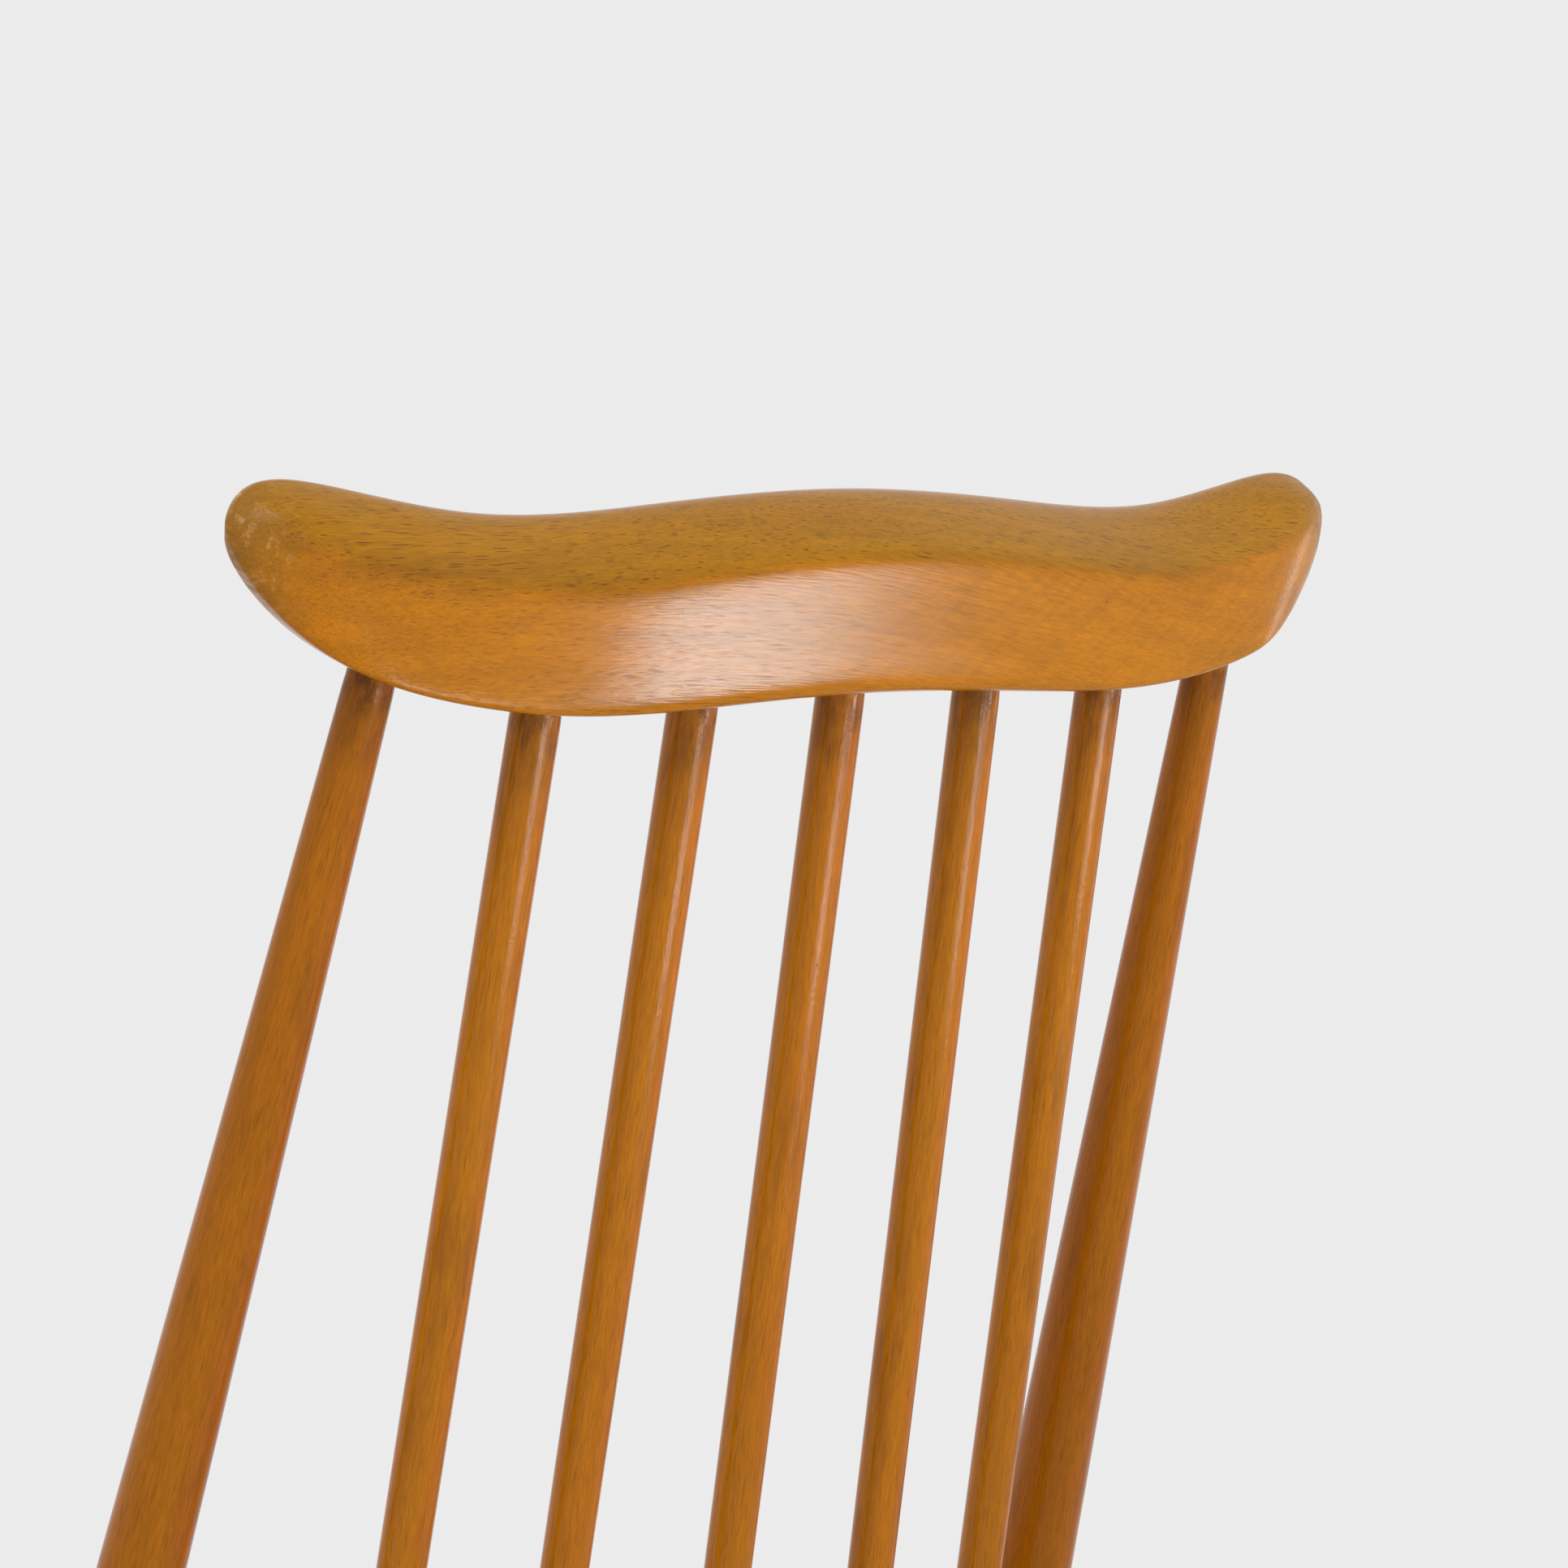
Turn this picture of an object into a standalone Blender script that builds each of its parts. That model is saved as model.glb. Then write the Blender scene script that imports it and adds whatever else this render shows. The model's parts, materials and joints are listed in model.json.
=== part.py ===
"""Windsor side chair with a comb back.

A saddled elm plank carries four raked legs below and seven sticks behind: five slim spindles between two
stouter posts, all tenoned into a carved crest rail. Two side stretchers and a cross stretcher tie the legs.

Metres, +Z up, the sitter faces -Y, so the chair's left is +X. The origin is on the floor under the middle
of the chair.
"""
import math

import bmesh
import bpy
import numpy as np
from mathutils import Matrix, Vector

# Seat plank
SEAT_HEIGHT = 0.440             # floor to the flat rim of the seat
SEAT_WIDTH = 0.446
SEAT_DEPTH = 0.415              # front edge to rear edge on the centre line
SEAT_THICKNESS = 0.034
SADDLE_DEPTH = 0.012            # deepest point of the hollow below the rim
SADDLE_WIDTH = 0.350
SADDLE_LENGTH = 0.300
SADDLE_SETBACK = 0.205          # deepest point, measured from the rear edge
POMMEL_WIDTH = 0.090            # ridge left standing at the front between the thighs
POMMEL_SHARE = 0.55             # part of the hollow that the ridge fills
FRONT_FALL = 0.007              # how far the front corners drop under the thighs
FRONT_FALL_LENGTH = 0.120
RIM_ROUND = 0.008               # rounding of the top edge
UNDER_BEVEL_WIDTH = 0.020       # how far the bevel underneath reaches in
UNDER_BEVEL_HEIGHT = 0.013      # how far it rises from the underside

# Sticks of the back
BACK_RISE = 0.4901              # rim of the seat to the underside of the crest, at the middle
BACK_LEAN = 0.0937              # how far the middle spindle's top stands behind its foot
COMB_ARC_RADIUS = 1.800         # arc of the stick tops, which the crest follows
FOOT_MARGIN = 0.038             # middle spindle's foot to the rear edge of the seat
FOOT_ARC_RADIUS = 0.452         # arc of the spindles' feet
SPINDLE_DIAMETER = 0.0131
SPINDLE_FOOT_SHARES = (0.0, 0.338, 0.614)   # of the way out to a post's foot
SPINDLE_TOP_SHARES = (0.0, 0.339, 0.673)    # of the way out to a post's top
POST_FOOT_MARGIN = 0.0205       # post's foot to the side edge of the seat
POST_FOOT_FORWARD = 0.0780      # ahead of the middle spindle's foot
POST_TOP_MARGIN = 0.0417        # post's top to the tip of the crest
POST_TOP_DIAMETER = 0.0125
POST_SWELL_DIAMETER = 0.0270
POST_FOOT_DIAMETER = 0.0205
POST_SWELL_HEIGHT = 0.150       # thickest point above the seat, along the post
POST_TAPER_POWER = 1.08         # 1 is a straight taper from there to the crest
CREST_TENON_LENGTH = 0.020
SEAT_TENON_LENGTH = 0.023
SHOULDER = 0.003                # length of the rounded step from stick to tenon
TENON_STEP = 0.0007             # depth of that step

# Crest rail
CREST_LENGTH = 0.3746           # tip to tip
CREST_HEIGHT = 0.0531           # underside to top edge at the middle
CREST_THICKNESS = 0.0316        # front to back at the middle
CREST_END_THICKNESS = 0.0252    # the same towards the ends, before they round off
CREST_SETBACK = 0.0042          # middle of the crest behind the line of the sticks
CREST_TIP_SETBACK = 0.0016      # how much further behind that line the tips are
CREST_LEAN = 0.00563            # how far the middle leans back over the crest's height
CREST_END_LEAN = 0.00297        # the same at the ends
RIDGE_SHARE = 0.5512            # height of the rear ridge at the middle, as a share
RIDGE_END_SHARE = 0.3775        # the same at the ends
UNDERSIDE_TWIST = 0.0048        # the underside's rear edge drops by this much at the ends
END_ROUNDNESS = 8.9             # higher is blunter

# Legs
FRONT_HEAD_MARGIN = 0.0729      # head of a front leg to the side edge of the seat
FRONT_HEAD_SETBACK = 0.084      # the same to the front edge
FRONT_SPLAY = 0.058             # foot outside the head
FRONT_RAKE = 0.083              # foot ahead of the head
REAR_HEAD_MARGIN = 0.0728
REAR_HEAD_SETBACK = 0.093
REAR_SPLAY = 0.053
REAR_RAKE = 0.100
LEG_HEAD_DIAMETER = 0.0225
LEG_NECK_DIAMETER = 0.0255      # where the tapered tenon leaves the seat
LEG_SWELL_DIAMETER = 0.0370
LEG_FOOT_DIAMETER = 0.0250
LEG_SWELL_HEIGHT = 0.235        # thickest point above the floor

# Wedges in the leg heads
WEDGE_DEPTH = 0.018
WEDGE_THICKNESS = 0.0026
WEDGE_TIP = 0.0010
WEDGE_MARGIN = 0.0007           # from each end of the wedge to the tenon's side

# Stretchers
STRETCHER_HEIGHT = 0.175
STRETCHER_SWELL_DIAMETER = 0.0235
STRETCHER_END_DIAMETER = 0.0165
LEG_SOCKET_DEPTH = 0.015
CROSS_STRETCHER_SHARE = 0.47    # along the side stretcher, from the front
CROSS_SOCKET_DEPTH = 0.011

# Fits
CLEARANCE = 0.0003              # between a tenon and the wall of its socket
END_GAP = 0.0003                # between a tenon's end and the bottom of its socket
TRIM = 0.020                    # spare length on a leg or wedge, which is cut off flush

# Facets
STICK_SIDES = 18
LEG_SIDES = 22
SEAT_CELLS = 20
CREST_STATIONS = 28
CREST_SIDES = 20
SPLINE_STEPS = 240
SOCKET_POINTS = 4               # points of a turned profile, from its end, that a socket is cut to
SHARP_ANGLE = math.radians(30)

# Seat plan: share of half the width, share of the depth from the rear edge
SEAT_PLAN = (
    (0.00, -0.01), (0.46, 0.00), (0.87, 0.15), (1.04, 0.38), (1.01, 0.60),
    (0.98, 0.84), (0.88, 1.03), (0.42, 1.01), (0.00, 1.01),
)
# Crest elevation: share of half the length, share of the height, along the top, round the tip and back
CREST_PATTERN = (
    (0.000, 1.002), (0.315, 0.925), (0.630, 0.811), (0.945, 1.128), (1.000, 0.890), (1.005, 0.762),
    (0.952, 0.476), (0.831, 0.160), (0.536, -0.057), (0.268, -0.022), (0.000, 0.014),
)
# Crest section: share of the thickness to the rear, share of the height
CREST_SECTION = (
    (-0.46, 0.10), (-0.44, 0.50), (-0.46, 0.86), (-0.36, 1.03), (-0.12, 1.03), (0.18, 0.86),
    (0.48, 0.66), (0.52, 0.56), (0.50, 0.30), (0.42, 0.06), (0.20, -0.03), (-0.25, -0.03),
)

BEECH = (0.52, 0.23, 0.03, 1.0)
BEECH_DARK = (0.45, 0.17, 0.02, 1.0)
ELM = (0.40, 0.19, 0.05, 1.0)
LACQUER_ROUGHNESS = 0.38


def spline(points, steps, closed=False):
    """Points along a uniform cubic B-spline."""
    ring = np.array(points, dtype=float)
    if closed:
        ring = np.vstack([ring[-1], ring, ring[0], ring[1]])
    spans = len(ring) - 3
    along = np.linspace(0.0, spans, steps, endpoint=not closed)
    first = np.minimum(along.astype(int), spans - 1)
    t = (along - first)[:, None]
    weights = ((1 - t) ** 3, 3 * t ** 3 - 6 * t ** 2 + 4, -3 * t ** 3 + 3 * t ** 2 + 3 * t + 1, t ** 3)
    return sum(weight * ring[first + i] for i, weight in enumerate(weights)) / 6


def half_outline(points):
    """A smooth curve through half an outline whose ends lie on the mirror line x = 0."""
    before = (-points[1][0], points[1][1])
    after = (-points[-2][0], points[-2][1])
    return spline([before, *points, after], SPLINE_STEPS)


def arc_sag(distance, radius):
    """How far an arc falls away at a distance from its middle."""
    return radius - math.sqrt(radius * radius - distance * distance)


# Seat
SEAT_REAR = FOOT_MARGIN
SEAT_FRONT = SEAT_REAR - SEAT_DEPTH
SEAT_CENTRE = (SEAT_REAR + SEAT_FRONT) / 2
SEAT_UNDERSIDE = SEAT_HEIGHT - SEAT_THICKNESS


def seat_plan():
    """x and y along the seat's edge, left half, from the front round to the rear."""
    plan = half_outline(SEAT_PLAN)[::-1]
    x = plan[:, 0] / plan[:, 0].max() * SEAT_WIDTH / 2
    span = plan[:, 1].max() - plan[:, 1].min()
    y = SEAT_REAR - (plan[:, 1] - plan[:, 1].min()) / span * SEAT_DEPTH
    return x, y


PLAN_X, PLAN_Y = seat_plan()
EDGE_ANGLES = np.arctan2(PLAN_Y - SEAT_CENTRE, PLAN_X)
EDGE_DISTANCES = np.hypot(PLAN_X, PLAN_Y - SEAT_CENTRE)


def half_width(y):
    """Half the seat's width at a place along its depth."""
    return float(np.interp(y, PLAN_Y, PLAN_X))


def edge_distance(x, y):
    """Distance from the seat's centre to its edge, in the direction of a point."""
    return float(np.interp(math.atan2(y - SEAT_CENTRE, abs(x)), EDGE_ANGLES, EDGE_DISTANCES))


def seat_top(x, y):
    """Height of the saddled top."""
    deepest = SEAT_REAR - SADDLE_SETBACK
    along = (y - deepest) / (SADDLE_LENGTH / 2)
    across = x / (SADDLE_WIDTH / 2)
    hollow = max(0.0, 1 - along ** 2 - across ** 2) ** 1.5
    ridge = math.exp(-(x / (POMMEL_WIDTH / 2)) ** 2)
    hollow *= 1 - POMMEL_SHARE * ridge * min(1.0, max(0.0, -along))
    front = max(0.0, 1 - (y - SEAT_FRONT) / FRONT_FALL_LENGTH) ** 2
    return SEAT_HEIGHT - SADDLE_DEPTH * hollow - FRONT_FALL * front * (1 - ridge)


def seat_surface(mesh):
    """A grid of quads on the saddled top, out to where the rim starts to round."""
    bmesh.ops.create_grid(mesh, x_segments=SEAT_CELLS, y_segments=SEAT_CELLS, size=1.0)
    for vert in mesh.verts:
        u, v = vert.co.x, vert.co.y
        x, y = u * math.sqrt(1 - v * v / 2), v * math.sqrt(1 - u * u / 2)
        reach = edge_distance(x, SEAT_CENTRE + y) - RIM_ROUND
        x, y = x * reach, SEAT_CENTRE + y * reach
        vert.co = (x, y, seat_top(x, y))
    return [edge for edge in mesh.edges if edge.is_boundary]


def extrude_ring(mesh, edges, place):
    """Extrude a boundary and move each new point where place(x, y) says."""
    made = bmesh.ops.extrude_edge_only(mesh, edges=edges)["geom"]
    for vert in (item for item in made if isinstance(item, bmesh.types.BMVert)):
        vert.co = place(vert.co.x, vert.co.y)
    return [item for item in made if isinstance(item, bmesh.types.BMEdge) and item.is_boundary]


def fill_ring(mesh, edges):
    """Close the last ring with one flat face and turn every face outward."""
    bmesh.ops.edgeloop_fill(mesh, edges=edges)
    bmesh.ops.recalc_face_normals(mesh, faces=mesh.faces)
    return mesh


def rim_top(x, y):
    """Height of the saddled top where its rim starts to round, in the direction of a point."""
    angle = math.atan2(y - SEAT_CENTRE, x)
    reach = edge_distance(x, y) - RIM_ROUND
    return seat_top(reach * math.cos(angle), SEAT_CENTRE + reach * math.sin(angle))


def edge_point(x, y, inset, height):
    """A point of the seat's edge, in the direction of a point, pulled in by inset."""
    angle = math.atan2(y - SEAT_CENTRE, x)
    reach = edge_distance(x, y) - inset
    return Vector((reach * math.cos(angle), SEAT_CENTRE + reach * math.sin(angle), height))


def seat_mesh():
    """The plank: saddled top, rounded rim, upright edge, bevel and flat underside."""
    mesh = bmesh.new()
    edges = seat_surface(mesh)
    quarter = RIM_ROUND * (1 - math.sqrt(0.5))
    for inset, drop in ((quarter, quarter), (0.0, RIM_ROUND)):
        edges = extrude_ring(mesh, edges, lambda x, y: edge_point(x, y, inset, rim_top(x, y) - drop))
    for inset, rise in ((0.0, UNDER_BEVEL_HEIGHT), (UNDER_BEVEL_WIDTH, 0.0)):
        edges = extrude_ring(mesh, edges, lambda x, y: edge_point(x, y, inset, SEAT_UNDERSIDE + rise))
    return fill_ring(mesh, edges)


def above_seat_mesh():
    """The space above the saddled top, which trims the leg heads flush."""
    mesh = bmesh.new()
    edges = seat_surface(mesh)
    lid = SEAT_HEIGHT + 3 * TRIM
    edges = extrude_ring(mesh, edges, lambda x, y: Vector((x, y, lid)))
    return fill_ring(mesh, edges)


# Crest rail
CREST_BASE = SEAT_HEIGHT + BACK_RISE


def crest_edges():
    """Top and lower edge of the left half of the crest: x and z of each, from the middle to the tip."""
    shape = half_outline(CREST_PATTERN)
    tip = int(np.argmax(shape[:, 0]))
    x = shape[:, 0] / shape[tip, 0] * CREST_LENGTH / 2
    top, underside = shape[0, 1], shape[-1, 1]
    z = CREST_BASE + (shape[:, 1] - underside) / (top - underside) * CREST_HEIGHT
    return (x[:tip + 1], z[:tip + 1]), (x[tip:][::-1], z[tip:][::-1])


CREST_TOP_EDGE, CREST_LOWER_EDGE = crest_edges()


def crest_low(x):
    """Height of the crest's underside."""
    return float(np.interp(abs(x), *CREST_LOWER_EDGE))


def crest_section(steps):
    """The section's points: share of the thickness behind its middle, and share of the height."""
    shape = spline(CREST_SECTION, steps, closed=True)
    low, high = shape.min(axis=0), shape.max(axis=0)
    rear, height = ((shape - low) / (high - low)).T
    return rear - 0.5, height


def section_ridge():
    """Height of the section's rearmost point, as a share."""
    rear, height = crest_section(SPLINE_STEPS)
    return float(height[np.argmax(rear)])


SECTION_REAR, SECTION_HEIGHT = crest_section(CREST_SIDES)
SECTION_RIDGE = section_ridge()


def comb_line(x):
    """How far behind the middle spindle's foot the stick tops stand."""
    return BACK_LEAN - arc_sag(x, COMB_ARC_RADIUS)


def crest_point(share, corner):
    """A point of the crest: share runs from tip to tip, -1 to 1, and corner round the section."""
    end = abs(math.sin(share * math.pi / 2))
    x = math.copysign(end * CREST_LENGTH / 2, share)
    low, high = crest_low(x), float(np.interp(abs(x), *CREST_TOP_EDGE))
    rounding = math.sqrt(max(0.0, 1 - end ** END_ROUNDNESS))
    ridge = RIDGE_SHARE + (RIDGE_END_SHARE - RIDGE_SHARE) * end ** 2
    height = SECTION_HEIGHT[corner] ** (math.log(ridge) / math.log(SECTION_RIDGE))
    thickness = CREST_THICKNESS + (CREST_END_THICKNESS - CREST_THICKNESS) * end ** 2
    rear = SECTION_REAR[corner]
    twist = 2 * UNDERSIDE_TWIST * end ** 2 * rear * (1 - height)
    z = low + (high - low) * height - twist * rounding
    lean = CREST_LEAN + (CREST_END_LEAN - CREST_LEAN) * end ** 2
    setback = CREST_SETBACK + CREST_TIP_SETBACK * end ** 2
    y = comb_line(x) + setback + lean * (z - low) / CREST_HEIGHT + thickness * rounding * rear
    return Vector((x, y, z))


def crest_mesh():
    """A grid bent into a closed skin: stations along X, the section around, both tips drawn to a point."""
    mesh = bmesh.new()
    bmesh.ops.create_grid(mesh, x_segments=CREST_STATIONS, y_segments=CREST_SIDES, size=1.0)
    for vert in mesh.verts:
        corner = round((vert.co.y + 1) / 2 * CREST_SIDES) % CREST_SIDES
        vert.co = crest_point(vert.co.x, corner)
    bmesh.ops.remove_doubles(mesh, verts=mesh.verts, dist=1e-6)
    bmesh.ops.recalc_face_normals(mesh, faces=mesh.faces)
    return mesh


# Objects
def new_collection(name):
    group = bpy.data.collections.new(name)
    bpy.context.scene.collection.children.link(group)
    return group


def wood(name, colour):
    """A lacquered wood of one colour."""
    material = bpy.data.materials.new(name + "_wood")
    material.use_nodes = True
    shader = material.node_tree.nodes["Principled BSDF"]
    shader.inputs["Base Color"].default_value = colour
    shader.inputs["Roughness"].default_value = LACQUER_ROUGHNESS
    shader.inputs["Metallic"].default_value = 0.0
    material.diffuse_color = colour
    return material


def add_object(name, mesh, group):
    """An object of a finished bmesh, hung on the root empty."""
    data = bpy.data.meshes.new(name)
    mesh.to_mesh(data)
    mesh.free()
    made = bpy.data.objects.new(name, data)
    made.parent = root
    group.objects.link(made)
    return made


def add_piece(name, mesh, colour):
    """A part of the chair."""
    piece = add_object(name, mesh, chair)
    piece.data.materials.append(wood(name, colour))
    return piece


def add_cutter(name, mesh):
    """A shape that only cuts others."""
    cutter = add_object(name, mesh, cutters)
    cutter.hide_render = True
    cutter.display_type = "WIRE"
    return cutter


def cut(piece, cutter):
    boolean = piece.modifiers.new("cut_" + cutter.name, "BOOLEAN")
    boolean.operation = "DIFFERENCE"
    boolean.solver = "MANIFOLD"
    boolean.object = cutter


def along_axis(start, end):
    """A frame at start with Z towards end and X kept level."""
    axis = (end - start).normalized()
    level = Vector((0.0, 1.0, 0.0)).cross(axis)
    if level.length < 0.5:
        level = Vector((0.0, 0.0, 1.0)).cross(axis)
    level.normalize()
    turn = Matrix((level, axis.cross(level), axis)).transposed()
    return Matrix.Translation(start) @ turn.to_4x4()


def profile_mesh(profile):
    """Half a turned outline from (distance along the axis, radius) pairs, foot first, closed on the axis."""
    mesh = bmesh.new()
    points = [(profile[0][0], 0.0), *profile, (profile[-1][0], 0.0)]
    verts = [mesh.verts.new((radius, 0.0, height)) for height, radius in reversed(points)]
    for upper, lower in zip(verts, verts[1:]):
        mesh.edges.new((upper, lower))
    return mesh


def turn_on_lathe(piece, sides):
    screw = piece.modifiers.new("lathe", "SCREW")
    screw.axis = "Z"
    screw.steps = sides
    screw.render_steps = sides
    screw.use_merge_vertices = True
    screw.merge_threshold = 1e-5


class Turning:
    """A turned piece on the line from start to end, and the cutters for the sockets at its two ends."""

    def __init__(self, name, profile, start, end, sides, colour):
        self.name = name
        self.profile = profile
        self.frame = along_axis(start, end)
        self.sides = sides
        self.piece = add_piece(name, profile_mesh(profile), colour)
        self.piece.matrix_local = self.frame
        turn_on_lathe(self.piece, sides)

    def cutter(self, label, points):
        made = add_cutter(self.name + "_" + label, profile_mesh(points))
        made.matrix_local = self.frame
        turn_on_lathe(made, self.sides)
        return made

    def lower_socket(self):
        """Room for the end that the line starts from."""
        points = [(height, radius + CLEARANCE) for height, radius in self.profile[:SOCKET_POINTS]]
        points[0] = (points[0][0] - END_GAP, points[0][1])
        return self.cutter("lower_socket", points)

    def upper_socket(self):
        """Room for the end that the line runs to."""
        points = [(height, radius + CLEARANCE) for height, radius in self.profile[-SOCKET_POINTS:]]
        points[-1] = (points[-1][0] + END_GAP, points[-1][1])
        return self.cutter("upper_socket", points)


# Sticks of the back
POST_FOOT_SPOT = half_width(-POST_FOOT_FORWARD) - POST_FOOT_MARGIN
POST_TOP_SPOT = CREST_LENGTH / 2 - POST_TOP_MARGIN


def stick(name, foot_x, foot_y, top_x, bands, colour):
    """A stick with tenons. bands(length) gives (distance above the seat, diameter) between its shoulders."""
    foot = Vector((foot_x, foot_y, SEAT_HEIGHT))
    top = Vector((top_x, comb_line(top_x), crest_low(top_x)))
    length = (top - foot).length
    start = foot - (top - foot).normalized() * SEAT_TENON_LENGTH
    end = SEAT_TENON_LENGTH + length
    middle = [(SEAT_TENON_LENGTH + height, diameter / 2) for height, diameter in bands(length)]
    foot_tenon = middle[0][1] - TENON_STEP
    top_tenon = middle[-1][1] - TENON_STEP
    profile = [(0.0, foot_tenon), (SEAT_TENON_LENGTH, foot_tenon), *middle]
    profile += [(end, top_tenon), (end + CREST_TENON_LENGTH, top_tenon)]
    return Turning(name, profile, start, top, STICK_SIDES, colour)


def spindle_bands(length):
    """A spindle keeps one diameter all the way."""
    return [(height, SPINDLE_DIAMETER) for height in (SHOULDER, length / 2, length - SHOULDER)]


def make_spindles():
    """Five slim spindles, numbered from the chair's left to its right."""
    made = []
    for number, spot in enumerate((2, 1, 0, -1, -2), start=1):
        foot_x = math.copysign(SPINDLE_FOOT_SHARES[abs(spot)] * POST_FOOT_SPOT, spot)
        foot_y = -arc_sag(foot_x, FOOT_ARC_RADIUS)
        top_x = math.copysign(SPINDLE_TOP_SHARES[abs(spot)] * POST_TOP_SPOT, spot)
        made.append(stick(f"spindle_{number}", foot_x, foot_y, top_x, spindle_bands, BEECH_DARK))
    return made


def post_bands(length):
    """Diameters along a post: swelling above the seat, then a taper to the crest."""
    swell = POST_SWELL_DIAMETER - POST_FOOT_DIAMETER
    bands = [(SHOULDER, POST_FOOT_DIAMETER)]
    for share in (0.25, 0.5, 0.75, 1.0):
        bands.append((POST_SWELL_HEIGHT * share, POST_FOOT_DIAMETER + swell * math.sin(share * math.pi / 2)))
    rest = length - SHOULDER - POST_SWELL_HEIGHT
    for share in (0.2, 0.4, 0.7, 1.0):
        fall = (POST_SWELL_DIAMETER - POST_TOP_DIAMETER) * share ** POST_TAPER_POWER
        bands.append((POST_SWELL_HEIGHT + rest * share, POST_SWELL_DIAMETER - fall))
    return bands


def make_posts():
    """The two stouter posts at the ends of the comb."""
    return [stick(f"back_post_{hand}", side * POST_FOOT_SPOT, -POST_FOOT_FORWARD, side * POST_TOP_SPOT,
                  post_bands, BEECH_DARK)
            for hand, side in (("left", 1), ("right", -1))]


# Legs
def leg_line(front, side):
    """Where a leg's axis meets the height of the rim, and the floor."""
    if front:
        head_y = SEAT_FRONT + FRONT_HEAD_SETBACK
        head = Vector((side * (half_width(head_y) - FRONT_HEAD_MARGIN), head_y, SEAT_HEIGHT))
        return head, head + Vector((side * FRONT_SPLAY, -FRONT_RAKE, -SEAT_HEIGHT))
    head_y = SEAT_REAR - REAR_HEAD_SETBACK
    head = Vector((side * (half_width(head_y) - REAR_HEAD_MARGIN), head_y, SEAT_HEIGHT))
    return head, head + Vector((side * REAR_SPLAY, REAR_RAKE, -SEAT_HEIGHT))


def leg_profile(length):
    """Foot to head: a taper up to the swell, a long taper to the neck, and the tapered tenon."""
    scale = length / SEAT_HEIGHT
    swell = LEG_SWELL_HEIGHT * scale
    neck = SEAT_UNDERSIDE * scale
    lower = LEG_SWELL_DIAMETER - LEG_FOOT_DIAMETER
    upper = LEG_SWELL_DIAMETER - LEG_NECK_DIAMETER
    profile = [(-TRIM, LEG_FOOT_DIAMETER)]
    for share in (0.0, 0.35, 0.65, 0.85, 1.0):
        profile.append((swell * share, LEG_FOOT_DIAMETER + lower * math.sin(share * math.pi / 2)))
    for share in (0.2, 0.45, 0.75, 1.0):
        fall = 1 - math.cos(share * math.pi / 2)
        profile.append((swell + (neck - swell) * share, LEG_SWELL_DIAMETER - upper * fall))
    taper = (LEG_NECK_DIAMETER - LEG_HEAD_DIAMETER) / (length - neck)
    profile.append((length + TRIM, LEG_HEAD_DIAMETER - taper * TRIM))
    return [(height, diameter / 2) for height, diameter in profile]


def leg_radius(height):
    """Radius of a leg at a height above the floor."""
    heights, radii = zip(*leg_profile(SEAT_HEIGHT))
    return float(np.interp(height, heights, radii))


def wedge_mesh(length, top, tip, depth, above):
    """A tapered block across a leg's head; depth reaches down from the rim and above rises past it."""
    mesh = bmesh.new()
    bmesh.ops.create_cube(mesh, size=1.0)
    slope = (top - tip) / depth
    for vert in mesh.verts:
        upper = vert.co.z > 0
        thickness = top + slope * above if upper else tip
        vert.co = (vert.co.x * length, vert.co.y * thickness, above if upper else -depth)
    return mesh


def below_floor_mesh():
    """The space under the floor, which trims the feet flat."""
    mesh = bmesh.new()
    bmesh.ops.create_cube(mesh, size=1.0)
    reach = 2 * (SEAT_WIDTH + SEAT_DEPTH)
    height = 3 * TRIM
    bmesh.ops.scale(mesh, vec=(reach, reach, height), verts=mesh.verts)
    bmesh.ops.translate(mesh, vec=(0, 0, -height / 2), verts=mesh.verts)
    return mesh


def make_legs(above_seat):
    """Four legs, trimmed on the floor and flush with the saddle, each with a wedge across its head."""
    below_floor = add_cutter("below_floor", below_floor_mesh())
    loose = 2 * CLEARANCE
    legs = {}
    for front, fore in ((True, "front"), (False, "rear")):
        for side, hand in ((1, "left"), (-1, "right")):
            head, foot = leg_line(front, side)
            length = (head - foot).length
            leg = Turning(f"leg_{fore}_{hand}", leg_profile(length), foot, head, LEG_SIDES, BEECH)
            cut(leg.piece, below_floor)
            cut(leg.piece, above_seat)
            blank = wedge_mesh(LEG_HEAD_DIAMETER - 2 * WEDGE_MARGIN, WEDGE_THICKNESS, WEDGE_TIP, WEDGE_DEPTH,
                               TRIM)
            wedge = add_piece(f"wedge_{fore}_{hand}", blank, BEECH_DARK)
            kerf = add_cutter(f"kerf_{fore}_{hand}",
                              wedge_mesh(2 * LEG_NECK_DIAMETER, WEDGE_THICKNESS + loose, WEDGE_TIP + loose,
                                         WEDGE_DEPTH + END_GAP, 2 * TRIM))
            for block in (wedge, kerf):
                block.matrix_local = leg.frame @ Matrix.Translation((0, 0, length))
            cut(wedge, above_seat)
            cut(leg.piece, kerf)
            legs[fore, hand] = leg
    return legs


# Stretchers
def stretcher(name, first, last, radius, depth):
    """A stretcher between two axes, with its shoulders at the faces of what it joins, and a swollen middle."""
    axis = (last - first).normalized()
    start = first + axis * (radius - depth)
    span = (last - first).length - 2 * radius
    end = depth + span
    swell = STRETCHER_SWELL_DIAMETER - STRETCHER_END_DIAMETER
    tenon = STRETCHER_END_DIAMETER / 2 - TENON_STEP
    profile = [(0.0, tenon), (depth, tenon)]
    for share in (0.0, 0.17, 0.34, 0.5, 0.66, 0.83, 1.0):
        diameter = STRETCHER_END_DIAMETER + swell * math.sin(share * math.pi)
        profile.append((depth + SHOULDER + (span - 2 * SHOULDER) * share, diameter / 2))
    profile += [(end, tenon), (end + depth, tenon)]
    return Turning(name, profile, start, last, STICK_SIDES, BEECH)


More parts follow.
